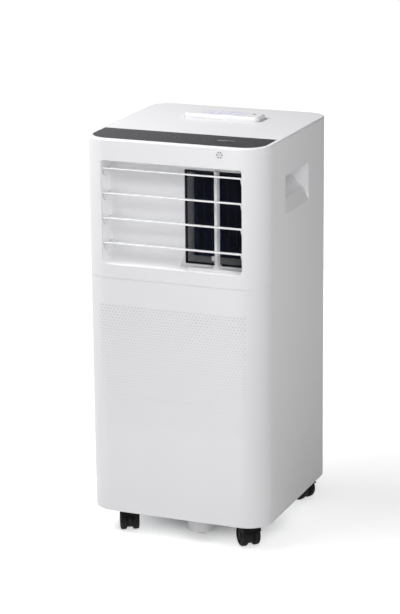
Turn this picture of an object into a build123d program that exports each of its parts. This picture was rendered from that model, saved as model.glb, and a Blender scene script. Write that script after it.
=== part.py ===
from build123d import *
import os
from math import cos, radians, sin

"""A compact portable air conditioner on four castors, in millimetres.

The origin is on the floor under the middle of the casing. +Z is up, -Y is the front with the air
outlet, and +X is on the right of someone who faces the front.
"""

# ---------------------------------------------------------------- driving dimensions
# Casing
WIDTH = 328.0
DEPTH = 330.0
HEIGHT = 705.0  # floor to the top cover
CLEARANCE = 45.0  # floor to the casing's lower edge
FRONT_R = 45.0
REAR_R = 35.0
LOWER_EDGE_R = 2.0
WINDOW_EDGE_R = 0.8
WALL = 2.5
FIT = 0.3  # gap between neighbouring mouldings
RUN = 0.08  # radial running clearance of a shaft or pin
LAP = 8.0  # reach of a tongue behind a seam
LAP_T = 2.0
SEAM_SET = 1.0  # vertical seams stand this far past the corner arcs
FRONT_SEAM_Z = 466.0
FRONT_SEAM_GAP = 0.8

# Top cover, control strip and remote control
COVER_T = 4.5
COVER_EDGE_R = 3.0
COVER_RIB_H = 3.5
COVER_RIB_T = 2.0
STRIP_RIM = 8.0
STRIP_T = 1.6
STRIP_BACK_Y = -77.0
REMOTE_L = 138.0
REMOTE_W = 42.0
REMOTE_H = 17.0
REMOTE_R = 9.0
REMOTE_EDGE_R = 3.0
REMOTE_X = 6.0
REMOTE_Y = 68.0
REMOTE_PROUD = 8.0
REMOTE_PARTING = 7.0  # height of the joint between the remote's two halves
KEYPAD_L = 84.0
KEYPAD_W = 30.0
KEYPAD_T = 0.8
TRAY_GAP = 3.0  # finger room round the remote
TRAY_WALL = 2.0

# Air outlet
WINDOW_W = 252.0
WINDOW_Z0 = 490.0
WINDOW_Z1 = 668.0
WINDOW_LOW_R = 11.0
WINDOW_TOP_R = 4.0
FRAME_T = 2.5
RECESS = 42.0  # front face to the back wall of the recess
OUTLET_X0 = 8.0
OUTLET_X1 = 125.0
OUTLET_Z0 = 492.0
OUTLET_Z1 = 654.0
DUCT_L = 43.0
DUCT_RAMP_H = 6.0  # rise of the duct's floor up to the vanes
COVE_R = 22.0  # floor to back wall, left of the opening
GROOVE_X0 = 20.0  # groove in the recess's floor
GROOVE_X1 = 121.0
GROOVE_W = 21.0
GROOVE_D = 5.0
GROOVE_R = 4.0
MESH_T = 0.7
MESH_BORDER = 2.0
MESH_PITCH_X = 5.0
MESH_PITCH_Z = 5.4
MESH_STRAND = 0.7
VANES = 8
VANE_PITCH = 14.4
VANE_CHORD = 12.0
VANE_T = 1.6
VANE_SET = 29.0  # mesh to the vanes' front edges
RIB_X = 68.6
RIB_T = 5.0
RIB_DEPTH = 12.0
RIB_LAP = 2.0  # above the opening
RIB_FOOT_H = 3.0
RIB_FOOT_EXTRA = 2.6

# Slats
SLATS = 4
SLAT_TOP_Z = 654.5  # front edge of the highest slat
SLAT_PITCH = 42.8
SLAT_CHORD = 22.0
SLAT_T = 2.3
SLAT_TILT = 11.0
SLAT_SET = 1.0  # front face to the slats' front edges
SLAT_END_GAP = 1.4  # recess wall to the slats' ears
EAR_T = 2.2
PIVOT_BACK = 12.0  # front edge to the pivot, backwards and downwards
PIVOT_DOWN = 11.5
PIVOT_R = 2.0
PIVOT_BOSS_R = 3.4
TAB_X = 60.0  # small tab on the mesh
TAB_W = 5.0
TAB_Z0 = 501.5
TAB_H = 7.0
TAB_DEPTH = 5.0
CRANK_R = 10.0
CRANK_T = 2.4
CRANK_W = 6.0
CRANK_GAP = 1.8  # recess wall to the crank arms
CRANK_PIN_R = 1.5
LINK_T = 2.4
LINK_W = 7.0
LINK_GAP = 0.6
SWING_BACK = 34.0  # slat pivots to the swing motor's shaft
SWING_R = 14.0
SWING_L = 17.0
SWING_SHAFT_R = 2.5
SWING_LUG = 22.0  # half length of the motor's fixing lugs
SWING_LUG_T = 2.0

# Side grips
GRIP_Y0 = -59.0
GRIP_Y1 = 56.0
GRIP_Z0 = 574.0
GRIP_Z1 = 640.0
GRIP_DEPTH = 34.0
GRIP_LIP_D = 9.0
GRIP_LIP_H = 23.0
GRIP_WALL = 2.2

# Base and castors
BASE_RAISE = 3.0  # casing's lower edge to the base's underside
BASE_T = 3.0
BASE_RIM_H = 20.0
BASE_RIM_T = 2.5
CASTOR_FRONT_X = 110.0
CASTOR_FRONT_Y = -112.5
CASTOR_REAR_X = 115.0
CASTOR_REAR_Y = 131.5
CASTOR_TURNS = (28.0, 42.0, 35.0, 66.0)  # front left, front right, rear left, rear right
WHEEL_R = 19.0
WHEEL_W = 11.5
WHEEL_EDGE_R = 3.5
WHEEL_DISH = 1.5
TRAIL = 14.5
WEB_T = 9.0
WEB_R = 15.2
WEB_GAP = 0.5
AXLE_R = 3.0
HOOD_GAP = 1.2
HOOD_T = 2.3
STEM_R = 4.0
STEM_L = 18.0
NECK_R = 9.0
SOCKET_R = 9.0

# Drain under the base
DRAIN_X = 34.0
DRAIN_Y = -128.0
DRAIN_BORE_R = 9.0
DRAIN_R = 11.8
DRAIN_SKIRT_R = 23.0
DRAIN_SKIRT_T = 2.2
DRAIN_SKIRT_Z = 20.5  # floor to the skirt's rim
DRAIN_FLANGE_H = 4.0
DRAIN_NECK_R = 10.6
DRAIN_LOW_Z = 18.8
CAP_RIM_H = 3.0
CAP_PLUG_H = 14.0

# Rear
UP_GRILLE_W = 230.0
UP_GRILLE_Z0 = 448.0
UP_GRILLE_Z1 = 676.0
LOW_GRILLE_W = 230.0
LOW_GRILLE_Z0 = 78.0
LOW_GRILLE_Z1 = 232.0
GRILLE_T = 2.3
GRILLE_PITCH = 9.0
GRILLE_SLOT = 5.5
GRILLE_BORDER = 9.0
GRILLE_POST = 4.0
LEDGE = 4.0
LEDGE_T = 2.5
FILTER_T = 4.0
FILTER_FRAME = 6.0
FILTER_RIB = 2.0
FILTER_SCREEN_T = 0.6
SCREW_R = 1.5
SCREW_HEAD_R = 3.2
SCREW_HEAD_H = 1.9
SCREW_L = 12.0
PORT_X = 55.0
PORT_Z = 300.0
PORT_R = 56.0
PORT_WALL = 2.5
PORT_FLANGE = 5.5
PORT_FLANGE_T = 2.5
CORD_X = -95.0
CORD_Z = 300.0
CORD_CUP_R = 16.0
CORD_CUP_DEPTH = 11.0
CORD_BUSH_R = 6.0
CORD_BORE_R = 3.6

# Drain tray between the two compartments
TRAY_Z0 = 364.0
TRAY_T = 3.0
TRAY_INSET = 5.0
TRAY_RIM_H = 18.0
TRAY_RIM_T = 2.0
LEDGE_SIDE_W = 10.0
LEDGE_SIDE_H = 4.0
TRAY_PORT_X = -60.0
TRAY_PORT_R = 8.0
TRAY_PORT_BORE = 6.0
TRAY_PORT_RISE = 10.0  # tray floor to the port's axis
TRAY_PORT_L = 7.0
PLUG_L = 12.0

# Upper blower and evaporator
SCROLL_WALL = 2.2
UP_SCROLL_REAR = 0.0
UP_VOLUTE_R = 84.0
UP_VOLUTE_GROW = 13.0
UP_WHEEL_R = 76.0
UP_WHEEL_W = 46.0
UP_MOUTH_R = 58.0
MOUTH_LIP = 6.0
UP_MOTOR_R = 34.0
UP_MOTOR_L = 22.0
EVAP_W = 250.0
EVAP_H = 290.0
EVAP_Y = 75.0
COIL_T = 45.0
COIL_PAD = 5.0
PAD_SET = 40.0  # ends of the evaporator to the pads it stands on
BEND_R = 9.0
BEND_TUBE_R = 3.5
BENDS = 5

# Lower blower and condenser
LOW_SCROLL_X = -56.0
LOW_SCROLL_Z = 185.0
LOW_SCROLL_Y0 = -25.0
LOW_SCROLL_Y1 = 45.0
LOW_VOLUTE_R = 76.0
LOW_VOLUTE_GROW = 11.0
LOW_WHEEL_R = 69.0
LOW_WHEEL_W = 40.0
LOW_MOUTH_R = 50.0
LOW_MOTOR_R = 30.0
LOW_MOTOR_L = 20.0
PLENUM_MARGIN = 3.0  # exhaust port to the walls of the box behind it
PLENUM_REAR = 128.2
SCROLL_LEG_X = 40.0  # either side of the lower blower
SCROLL_LEG_T = 4.0
SCROLL_LEG_W = 40.0
COND_X0 = -150.0
COND_X1 = 130.0
COND_Y = 66.0
COND_H = 177.0
COND_PAD = 4.0

# Wheels, blades and shafts
BLADES = 30
BLADE_T = 1.6
BLADE_CHORD = 13.0
BLADE_LEAN = 38.0
WHEEL_PLATE = 2.5
WHEEL_RING = 4.0
WHEEL_CLEAR = 4.0
HUB_R = 11.0
HUB_L = 16.0
SHAFT_R = 4.0
SPLASH_X = 92.0
SPLASH_R = 33.0
SPLASH_W = 8.0
SPLASH_LIFT = 12.0  # base floor to the wheel
SPLASH_MOTOR_R = 20.0
SPLASH_MOTOR_L = 42.0
SPLASH_MOTOR_Y = 2.0
SPLASH_GAP = 5.0
PADDLES = 8

# Compressor set
COMP_X = -50.0
COMP_Y = -75.0
COMP_R = 46.0
COMP_H = 205.0
COMP_CROWN_R = 18.0
COMP_FOOT_R = 60.0
COMP_FOOT_T = 3.0
STUDS = 3
STUD_RING_R = 53.0
STUD_R = 3.0
GROMMET_R = 6.0
GROMMET_H = 10.0
ACC_X = 22.0
ACC_R = 22.0
ACC_H = 130.0
ACC_LIFT = 62.0  # base floor to the accumulator
CLAMP_H = 6.0
PIPE_R = 4.0
PIPE_BEND_R = 12.0
LIQUID_R = 2.5
LIQUID_X = -100.0
DRIER_R = 8.0
DRIER_L = 45.0
DISCHARGE_Z = 300.0
SUCTION_Z = 338.0
SUCTION_X = -118.0
PIPE_X = -146.0  # discharge pipe beside the left wall
PIPE_HOLE_GAP = 2.0

# Electrical parts
EBOX_X0 = 48.0
EBOX_X1 = 148.0
EBOX_Y0 = -138.0
EBOX_Y1 = -62.0
EBOX_H = 112.0
EBOX_WALL = 2.0
BOARD_T = 1.6
BOARD_MARGIN = 3.0
BOARD_STAND = 5.0
CAP_R = 16.0
CAP_H = 52.0
DISPLAY_L = 150.0
DISPLAY_W = 50.0
SENSOR_X = 88.0
SENSOR_DROP = 13.0  # top of the casing to the ring of holes
SENSOR_RING_R = 4.6
SENSOR_HOLE_R = 0.75
SENSOR_HOLES = 6
SENSOR_BOX = 14.0
SENSOR_DEEP = 8.0

# ---------------------------------------------------------------- derived places
FAR = 2 * HEIGHT
FRONT_Y = -DEPTH / 2
REAR_Y = DEPTH / 2
FRONT_IN_Y = FRONT_Y + WALL
REAR_IN_Y = REAR_Y - WALL
SIDE_X = WIDTH / 2
CASE_Z = (CLEARANCE, HEIGHT - COVER_T)
FRONT_SEAM_Y = FRONT_Y + FRONT_R + SEAM_SET
TONGUE_Z = (CLEARANCE + BASE_RAISE + BASE_T + BASE_RIM_H + FIT, CASE_Z[1])  # clear of the base's rim
REAR_SEAM_X = SIDE_X - REAR_R - SEAM_SET
BASE_Z = CLEARANCE + BASE_RAISE
BASE_TOP = BASE_Z + BASE_T
BACK_Y = FRONT_Y + RECESS
DUCT_END_Y = BACK_Y + DUCT_L
MESH_Y = BACK_Y + (FRAME_T - MESH_T) / 2
VANE_Y = MESH_Y + MESH_T + VANE_SET
UP_SCROLL_Y0 = DUCT_END_Y + FIT
TRAY_TOP = TRAY_Z0 + TRAY_T
UP_SCROLL_Z = TRAY_TOP + SCROLL_WALL + UP_VOLUTE_R + UP_VOLUTE_GROW
UP_SCROLL_X = OUTLET_X1 - FRAME_T - 3 * UP_VOLUTE_GROW - UP_VOLUTE_R
COVER_Z = CASE_Z[1]
REMOTE_Z = HEIGHT + REMOTE_PROUD - REMOTE_H
TRAY_FLOOR = REMOTE_Z - FIT
WINDOW_X = WINDOW_W / 2
EAR_X = WINDOW_X - SLAT_END_GAP
SLAT_Y = FRONT_Y + SLAT_SET
PIVOT_Y = SLAT_Y + PIVOT_BACK
SLAT_Z = [SLAT_TOP_Z - SLAT_PITCH * index for index in range(SLATS)]
PIVOT_Z = [z - PIVOT_DOWN for z in SLAT_Z]
CRANK_X = -(WINDOW_X + FRAME_T + CRANK_GAP)  # inner faces of the crank arms
LINK_X = CRANK_X - CRANK_T - LINK_GAP
SWING_Y = PIVOT_Y + SWING_BACK
SWING_Z = (PIVOT_Z[1] + PIVOT_Z[2]) / 2
SWING_CRANK_X = LINK_X - LINK_T - LINK_GAP
SWING_X = SWING_CRANK_X - CRANK_T - 2 * LINK_GAP
COIL_Z = {"evaporator": TRAY_TOP + COIL_PAD, "condenser": BASE_TOP + COND_PAD}
COMP_FOOT_Z = BASE_TOP + GROMMET_H
COMP_TOP = COMP_FOOT_Z + COMP_FOOT_T + COMP_H
STEMS = [
    (-CASTOR_FRONT_X, CASTOR_FRONT_Y),
    (CASTOR_FRONT_X, CASTOR_FRONT_Y),
    (-CASTOR_REAR_X, CASTOR_REAR_Y),
    (CASTOR_REAR_X, CASTOR_REAR_Y),
]
SPLASH_Z = BASE_TOP + SPLASH_LIFT + SPLASH_R


# ---------------------------------------------------------------- helpers
def block(x, y, z):
    """A box between three (low, high) pairs."""
    spans = (x, y, z)
    centre = [(low + high) / 2 for low, high in spans]
    return Pos(*centre) * Box(*[high - low for low, high in spans])


def rod(axis, span, at, radius):
    """A cylinder along an axis, over a span of it, at the two other coordinates."""
    middle = (span[0] + span[1]) / 2
    turn, place = {
        "x": (Rot(0, 90, 0), (middle, *at)),
        "y": (Rot(90, 0, 0), (at[0], middle, at[1])),
        "z": (Rot(0, 0, 0), (*at, middle)),
    }[axis]
    return Pos(*place) * turn * Cylinder(radius, span[1] - span[0])


def tube(axis, span, at, outer, inner):
    return rod(axis, span, at, outer) - rod(axis, span, at, inner)


def prism_x(sketch, x):
    """A sketch of (y, z) carried along X."""
    plane = Plane((x[0], 0, 0), x_dir=(0, 1, 0), z_dir=(1, 0, 0))
    return extrude(plane * sketch, amount=x[1] - x[0], dir=(1, 0, 0))


def prism_y(sketch, y):
    """A sketch of (x, z) carried along Y."""
    plane = Plane((0, y[0], 0), x_dir=(1, 0, 0), z_dir=(0, -1, 0))
    return extrude(plane * sketch, amount=y[1] - y[0], dir=(0, 1, 0))


def prism_z(sketch, z):
    return Pos(0, 0, z[0]) * extrude(sketch, amount=z[1] - z[0], dir=(0, 0, 1))


def rect(a, b, grow=0.0):
    """A rectangle between two (low, high) pairs."""
    width, height = a[1] - a[0] + 2 * grow, b[1] - b[0] + 2 * grow
    return Pos((a[0] + a[1]) / 2, (b[0] + b[1]) / 2) * Rectangle(width, height)


def keep(part, x=(-FAR, FAR), y=(-FAR, FAR), z=(-FAR, FAR)):
    """What a part has inside the given spans."""
    return part & block(x, y, z)


def ring_points(count, radius, start=0.0):
    turns = [radians(start + 360.0 * index / count) for index in range(count)]
    return [(radius * cos(turn), radius * sin(turn)) for turn in turns]


# ---------------------------------------------------------------- casing
def footprint(inset=0.0):
    """The casing's plan, drawn in by an inset."""
    plan = Rectangle(WIDTH - 2 * inset, DEPTH - 2 * inset)
    plan = fillet(plan.vertices().group_by(Axis.Y)[0], FRONT_R - inset)
    return fillet(plan.vertices().group_by(Axis.Y)[-1], REAR_R - inset)


def casing_ring(inset, thickness, z):
    return prism_z(footprint(inset) - footprint(inset + thickness), z)


def casing_skin(z):
    """The casing's wall between two heights, rounded along its lower edge."""
    body = prism_z(footprint(), CASE_Z)
    body = fillet(body.edges().group_by(Axis.Z)[0], LOWER_EDGE_R)
    return keep(body, z=z) - prism_z(footprint(WALL), (z[0] - 1, z[1] + 1))


def window(grow=0.0):
    """The air outlet's window as a sketch of (x, z)."""
    shape = rect((-WINDOW_X, WINDOW_X), (WINDOW_Z0, WINDOW_Z1), grow)
    shape = fillet(shape.vertices().group_by(Axis.Y)[0], WINDOW_LOW_R + grow)
    return fillet(shape.vertices().group_by(Axis.Y)[-1], WINDOW_TOP_R + grow)


def sensor_holes():
    z = HEIGHT - SENSOR_DROP
    wall = (FRONT_Y - 1, FRONT_IN_Y + 1)
    ring = ring_points(SENSOR_HOLES, SENSOR_RING_R)
    return [rod("y", wall, (SENSOR_X + x, z + dz), SENSOR_HOLE_R) for x, dz in ring]


def on_window_rim(edge):
    """True for the window's edges on the outer face of the front panel."""
    centre = edge.center()
    in_front = centre.Y < FRONT_Y + WALL / 2
    beside = abs(centre.X) < WINDOW_X + WALL and WINDOW_Z0 - WALL < centre.Z < WINDOW_Z1 + WALL
    return in_front and beside


def front_panel_upper():
    low = FRONT_SEAM_Z + FRONT_SEAM_GAP / 2
    panel = keep(casing_skin((low, CASE_Z[1])), y=(-FAR, FRONT_SEAM_Y - FIT / 2))
    panel -= prism_y(window(), (FRONT_Y - 1, FRONT_Y + FRONT_R / 2))
    rim = panel.edges().filter_by(on_window_rim)
    panel = fillet(rim, WINDOW_EDGE_R)
    for hole in sensor_holes():
        panel -= hole
    return panel


def front_panel_lower():
    high = FRONT_SEAM_Z - FRONT_SEAM_GAP / 2
    panel = keep(casing_skin((CASE_Z[0], high)), y=(-FAR, FRONT_SEAM_Y - FIT / 2))
    tongue = casing_ring(WALL, LAP_T, (FRONT_SEAM_Z - LAP, high))
    tongue += casing_ring(WALL + FIT, LAP_T - FIT, (high, FRONT_SEAM_Z + LAP))
    return panel + keep(tongue, y=(-FAR, FRONT_SEAM_Y - LAP - FIT))


def grip_sketch(grow=0.0):
    """The finger grip's section on the right side, as (x, z): a sloping lip, then a round back."""
    lip = (SIDE_X - GRIP_LIP_D, GRIP_Z0 + GRIP_LIP_H)
    back_x = SIDE_X - GRIP_DEPTH
    arc = TangentArc((back_x, GRIP_Z1), lip, tangent=(0, -1))
    outline = [
        Line((SIDE_X + WALL, GRIP_Z0), (SIDE_X, GRIP_Z0)),
        Line((SIDE_X, GRIP_Z0), lip),
        arc,
        Line((back_x, GRIP_Z1), (SIDE_X + WALL, GRIP_Z1)),
        Line((SIDE_X + WALL, GRIP_Z1), (SIDE_X + WALL, GRIP_Z0)),
    ]
    section = make_face(outline)
    return offset(section, amount=grow, kind=Kind.INTERSECTION) if grow else section


def side_panel(side):
    """A side panel with its rear corner; side is -1 for the left and 1 for the right."""
    span = sorted((side * (REAR_SEAM_X + FIT / 2), side * FAR))
    half = sorted((0, side * FAR))
    panel = keep(casing_skin(CASE_Z), x=span, y=(FRONT_SEAM_Y + FIT / 2, FAR))
    root = keep(casing_ring(WALL, LAP_T, TONGUE_Z), x=half,
                y=(FRONT_SEAM_Y + FIT / 2, FRONT_SEAM_Y + LAP))
    tip = keep(casing_ring(WALL + FIT, LAP_T - FIT, TONGUE_Z), x=half,
               y=(FRONT_SEAM_Y - LAP, FRONT_SEAM_Y + FIT / 2))
    panel += root + tip
    shelf = sorted((side * (SIDE_X - WALL - LEDGE_SIDE_W), side * (SIDE_X - WALL)))
    panel += block(shelf, (FRONT_SEAM_Y + LAP, REAR_Y - REAR_R), (TRAY_Z0 - LEDGE_SIDE_H, TRAY_Z0))
    cup = prism_y(grip_sketch(GRIP_WALL), (GRIP_Y0 - GRIP_WALL, GRIP_Y1 + GRIP_WALL))
    cup = keep(cup, x=(0, SIDE_X - WALL / 2))
    pocket = prism_y(grip_sketch(), (GRIP_Y0, GRIP_Y1))
    if side < 0:
        cup, pocket = mirror(cup, about=Plane.YZ), mirror(pocket, about=Plane.YZ)
    return panel + cup - pocket


def rear_opening(width, z, grow=0.0):
    return rect((-width / 2, width / 2), z, grow)


UP_GRILLE = (UP_GRILLE_W, (UP_GRILLE_Z0, UP_GRILLE_Z1))
LOW_GRILLE = (LOW_GRILLE_W, (LOW_GRILLE_Z0, LOW_GRILLE_Z1))
LOW_SEAT_Y = REAR_Y - SCREW_HEAD_H - FIT - GRILLE_T  # the lower grille is recessed for its screw heads


def screw_places():
    """Three screws along each long edge of the lower grille, in its border."""
    inset = GRILLE_BORDER / 2
    xs = (-LOW_GRILLE_W / 2 + inset, 0.0, LOW_GRILLE_W / 2 - inset)
    zs = (LOW_GRILLE_Z0 + inset, LOW_GRILLE_Z1 - inset)
    return [(x, z) for x in xs for z in zs]


def rear_panel():
    """The flat rear panel, with tongues behind the side panels and a ledge round each opening."""
    flat = (-REAR_SEAM_X + FIT / 2, REAR_SEAM_X - FIT / 2)
    panel = keep(casing_skin(CASE_Z), x=flat, y=(0, FAR))
    for side in (-1, 1):
        seam = side * REAR_SEAM_X
        root = sorted((seam - side * LAP, seam - side * FIT / 2))
        tip = sorted((seam - side * FIT / 2, seam + side * LAP))
        panel += keep(casing_ring(WALL, LAP_T, TONGUE_Z), x=root, y=(0, FAR))
        panel += keep(casing_ring(WALL + FIT, LAP_T - FIT, TONGUE_Z), x=tip, y=(0, FAR))
    for (width, z), reach, top in ((UP_GRILLE, LEDGE, REAR_IN_Y), (LOW_GRILLE, GRILLE_BORDER, LOW_SEAT_Y)):
        hole, outer = rear_opening(width, z), rear_opening(width, z, LEDGE)
        panel -= prism_y(hole, (REAR_IN_Y - 1, REAR_Y + 1))
        panel += prism_y(outer - hole, (top - LEDGE_T, REAR_IN_Y))
        panel += prism_y(outer - rear_opening(width, z, -reach), (top - LEDGE_T, top))
    boss = (LOW_SEAT_Y - LEDGE_T - SCREW_L, LOW_SEAT_Y - LEDGE_T)
    for x, z in screw_places():
        panel += rod("y", boss, (x, z), SCREW_R + LAP_T)
        panel -= rod("y", (boss[0] - 1, LOW_SEAT_Y + 1), (x, z), SCREW_R + RUN)
    hole = (REAR_IN_Y - LEDGE_T, REAR_Y + 1)
    panel -= rod("y", hole, (PORT_X, PORT_Z), PORT_R + PORT_WALL + FIT)
    cup = (REAR_Y - CORD_CUP_DEPTH - WALL, REAR_IN_Y)
    panel += rod("y", cup, (CORD_X, CORD_Z), CORD_CUP_R + WALL)
    panel -= rod("y", (REAR_Y - CORD_CUP_DEPTH, REAR_Y + 1), (CORD_X, CORD_Z), CORD_CUP_R)
    panel -= rod("y", (cup[0] - 1, cup[1]), (CORD_X, CORD_Z), CORD_BUSH_R + FIT)
    panel -= rod("y", hole, (TRAY_PORT_X, TRAY_TOP + TRAY_PORT_RISE), TRAY_PORT_R + FIT)
    return panel


def remote_plan(grow=0.0):
    plan = RectangleRounded(REMOTE_L + 2 * grow, REMOTE_W + 2 * grow, REMOTE_R + grow)
    return Pos(REMOTE_X, REMOTE_Y) * plan


def strip_plan(inset=0.0):
    """The control strip's plan: its front corners run parallel to the casing's."""
    back = STRIP_BACK_Y - inset
    return footprint(STRIP_RIM + inset) & rect((-SIDE_X, SIDE_X), (FRONT_Y, back))


def top_cover():
    cover = prism_z(footprint(), (COVER_Z, HEIGHT))
    cover = fillet(cover.edges().group_by(Axis.Z)[-1], COVER_EDGE_R)
    rib = casing_ring(WALL + FIT, COVER_RIB_T, (COVER_Z - COVER_RIB_H, COVER_Z))
    half = SENSOR_BOX / 2 + FIT
    rib -= block((SENSOR_X - half, SENSOR_X + half), (FRONT_Y, FRONT_Y + FRONT_R / 2), (0, HEIGHT))
    for side in (-1, 1):
        corner = (side * (SIDE_X - WALL), FRONT_SEAM_Y)
        rib -= Pos(corner[0], corner[1], COVER_Z) * Box(4 * LAP_T, 3 * LAP, 4 * COVER_RIB_H)
        corner = (side * REAR_SEAM_X, REAR_Y - WALL)
        rib -= Pos(corner[0], corner[1], COVER_Z) * Box(3 * LAP, 4 * LAP_T, 4 * COVER_RIB_H)
    cover += keep(rib, z=(0, COVER_Z))
    cover += prism_z(remote_plan(TRAY_GAP + TRAY_WALL), (TRAY_FLOOR - TRAY_WALL, COVER_Z))
    cover -= prism_z(remote_plan(TRAY_GAP), (TRAY_FLOOR, HEIGHT + 1))
    return cover - prism_z(strip_plan(), (HEIGHT - STRIP_T, HEIGHT + 1))


def control_strip():
    return prism_z(strip_plan(FIT / 2), (HEIGHT - STRIP_T, HEIGHT))


# ---------------------------------------------------------------- remote control
def remote_half(z, edge):
    """One half of the remote's case, a shell open at the parting plane, round at its outer edge."""
    half = prism_z(remote_plan(), z)
    outer = half.edges().group_by(Axis.Z)[edge]
    half = fillet(outer, REMOTE_EDGE_R)
    inside = (z[0] + TRAY_WALL, z[1]) if edge == 0 else (z[0], z[1] - TRAY_WALL)
    return half - prism_z(remote_plan(-TRAY_WALL), inside)


def keypad_plan(inset=0.0):
    plan = RectangleRounded(KEYPAD_L - 2 * inset, KEYPAD_W - 2 * inset, REMOTE_EDGE_R)
    return Pos(REMOTE_X, REMOTE_Y) * plan


def remote_case():
    top = REMOTE_Z + REMOTE_H
    case = remote_half((REMOTE_Z + REMOTE_PARTING, top), -1)
    return case - prism_z(keypad_plan(), (top - KEYPAD_T, top + 1))


def remote_back():
    return remote_half((REMOTE_Z, REMOTE_Z + REMOTE_PARTING), 0)


def remote_keypad():
    top = REMOTE_Z + REMOTE_H
    return prism_z(keypad_plan(FIT / 2), (top - KEYPAD_T, top))


# ---------------------------------------------------------------- air outlet
def outlet(grow=0.0):
    """The opening in the recess's back wall, as a sketch of (x, z)."""
    return rect((OUTLET_X0, OUTLET_X1), (OUTLET_Z0, OUTLET_Z1), grow)


def floor_groove(grow=0.0):
    """The space of the groove in the recess's floor, open at its top."""
    front = FRONT_IN_Y + FIT + FRAME_T
    middle = ((GROOVE_X0 + GROOVE_X1) / 2, front + GROOVE_W / 2)
    size = (GROOVE_X1 - GROOVE_X0 + 2 * grow, GROOVE_W + 2 * grow)
    plan = Pos(*middle) * RectangleRounded(*size, GROOVE_R + grow)
    return prism_z(plan, (WINDOW_Z0 - GROOVE_D - grow, WINDOW_Z0 + WINDOW_LOW_R))


def floor_cove():
    """A hollow curve from the recess's floor to its back wall, left of the opening."""
    centre = (BACK_Y - COVE_R, WINDOW_Z0 + COVE_R)
    section = rect((BACK_Y - COVE_R, BACK_Y), (WINDOW_Z0, WINDOW_Z0 + COVE_R)) - Pos(*centre) * Circle(COVE_R)
    cove = prism_x(section, (-WINDOW_X, OUTLET_X0 - FRAME_T))
    return cove & prism_y(window(), (BACK_Y - COVE_R, BACK_Y))


def duct_ramp():
    """The rising floor of the duct between the mesh and the vanes, level under the vanes."""
    start = MESH_Y + MESH_T + FIT
    top = OUTLET_Z0 + DUCT_RAMP_H
    corners = [(start, OUTLET_Z0), (VANE_Y, top), (DUCT_END_Y, top), (DUCT_END_Y, OUTLET_Z0)]
    return prism_x(make_face(Polyline(*corners, close=True)), (OUTLET_X0, OUTLET_X1))


def louvre_frame():
    """The white recess, its back wall, the short duct behind the opening and the motor's posts."""
    recess = (FRONT_IN_Y + FIT, BACK_Y)
    frame = prism_y(window(FRAME_T), recess) + floor_groove(FRAME_T) - prism_y(window(), recess)
    frame += prism_y(window(FRAME_T), (BACK_Y, BACK_Y + FRAME_T))
    frame += prism_y(outlet(FRAME_T), (BACK_Y, DUCT_END_Y))
    frame -= prism_y(outlet(), (BACK_Y - 1, DUCT_END_Y + 1))
    frame += floor_cove() + duct_ramp()
    frame -= floor_groove()
    frame = frame & prism_z(footprint(WALL + FIT), CASE_Z)
    for z in PIVOT_Z:
        frame -= rod("x", (-WINDOW_W, WINDOW_W), (PIVOT_Y, z), PIVOT_R + RUN)
    outer = -(WINDOW_X + FRAME_T)
    for side in (-1, 1):
        low, high = sorted((SWING_Z + side * (SWING_R + WALL), SWING_Z + side * SWING_LUG))
        post_x = (SWING_X + FIT, outer)
        frame += block(post_x, (BACK_Y - FRAME_T, SWING_Y + CRANK_W), (low, high))
    return frame


def safety_mesh():
    """A guard of crossed strands in a thin border, filling the opening, with a tab to pull it by."""
    border = outlet(-FIT)
    inner = outlet(-FIT - MESH_BORDER)
    half_x, half_z = MESH_PITCH_X / 2, MESH_PITCH_Z / 2
    reach = half_x * half_z / (half_x**2 + half_z**2) ** 0.5
    open_share = 1 - MESH_STRAND / (2 * reach)
    low, high = inner.bounding_box().min, inner.bounding_box().max
    columns = int((high.X - low.X) / MESH_PITCH_X)
    rows = int((high.Y - low.Y) / MESH_PITCH_Z)
    start_x = (low.X + high.X - columns * MESH_PITCH_X) / 2
    start_z = (low.Y + high.Y - rows * MESH_PITCH_Z) / 2
    holes = []
    for row in range(2 * rows - 1):
        shift = row % 2
        for column in range(columns - shift):
            x = start_x + (column + 0.5 + shift / 2) * MESH_PITCH_X
            z = start_z + (row + 1) * half_z
            dx, dz = half_x * open_share, half_z * open_share
            corners = [(x - dx, z), (x, z - dz), (x + dx, z), (x, z + dz)]
            holes.append(Wire.make_polygon([Vector(*corner) for corner in corners], close=True))
    plate = Face(border.face().outer_wire(), holes)
    tab = rect((TAB_X - TAB_W / 2, TAB_X + TAB_W / 2), (TAB_Z0, TAB_Z0 + TAB_H))
    mesh = prism_y(Sketch() + plate, (MESH_Y, MESH_Y + MESH_T))
    return mesh + prism_y(tab, (MESH_Y - TAB_DEPTH, MESH_Y + MESH_T))


def slat_rib():
    """The upright in front of the mesh, on a flared foot, its top end on the wall over the opening."""
    y = (BACK_Y - RIB_DEPTH, BACK_Y)
    rib = block((RIB_X - RIB_T / 2, RIB_X + RIB_T / 2), y, (WINDOW_Z0, OUTLET_Z1 + RIB_LAP))
    half = RIB_T / 2 + RIB_FOOT_EXTRA
    return rib + block((RIB_X - half, RIB_X + half), y, (WINDOW_Z0, OUTLET_Z0 + RIB_FOOT_H))


def guide_vanes():
    """A cassette of upright blades between two rails, in the duct behind the mesh."""
    low, high = OUTLET_Z0 + DUCT_RAMP_H + FIT, OUTLET_Z1 - FIT
    middle = (OUTLET_X0 + OUTLET_X1) / 2
    rail_y = (VANE_Y + VANE_CHORD / 3, VANE_Y + VANE_CHORD * 2 / 3)
    across = (OUTLET_X0 + FIT, OUTLET_X1 - FIT)
    vanes = block(across, rail_y, (low, low + VANE_T))
    vanes += block(across, rail_y, (high - VANE_T, high))
    for index in range(VANES):
        x = middle + (index - (VANES - 1) / 2) * VANE_PITCH
        span = (x - VANE_T / 2, x + VANE_T / 2)
        vanes += block(span, (VANE_Y, VANE_Y + VANE_CHORD), (low, high))
    return vanes


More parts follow.
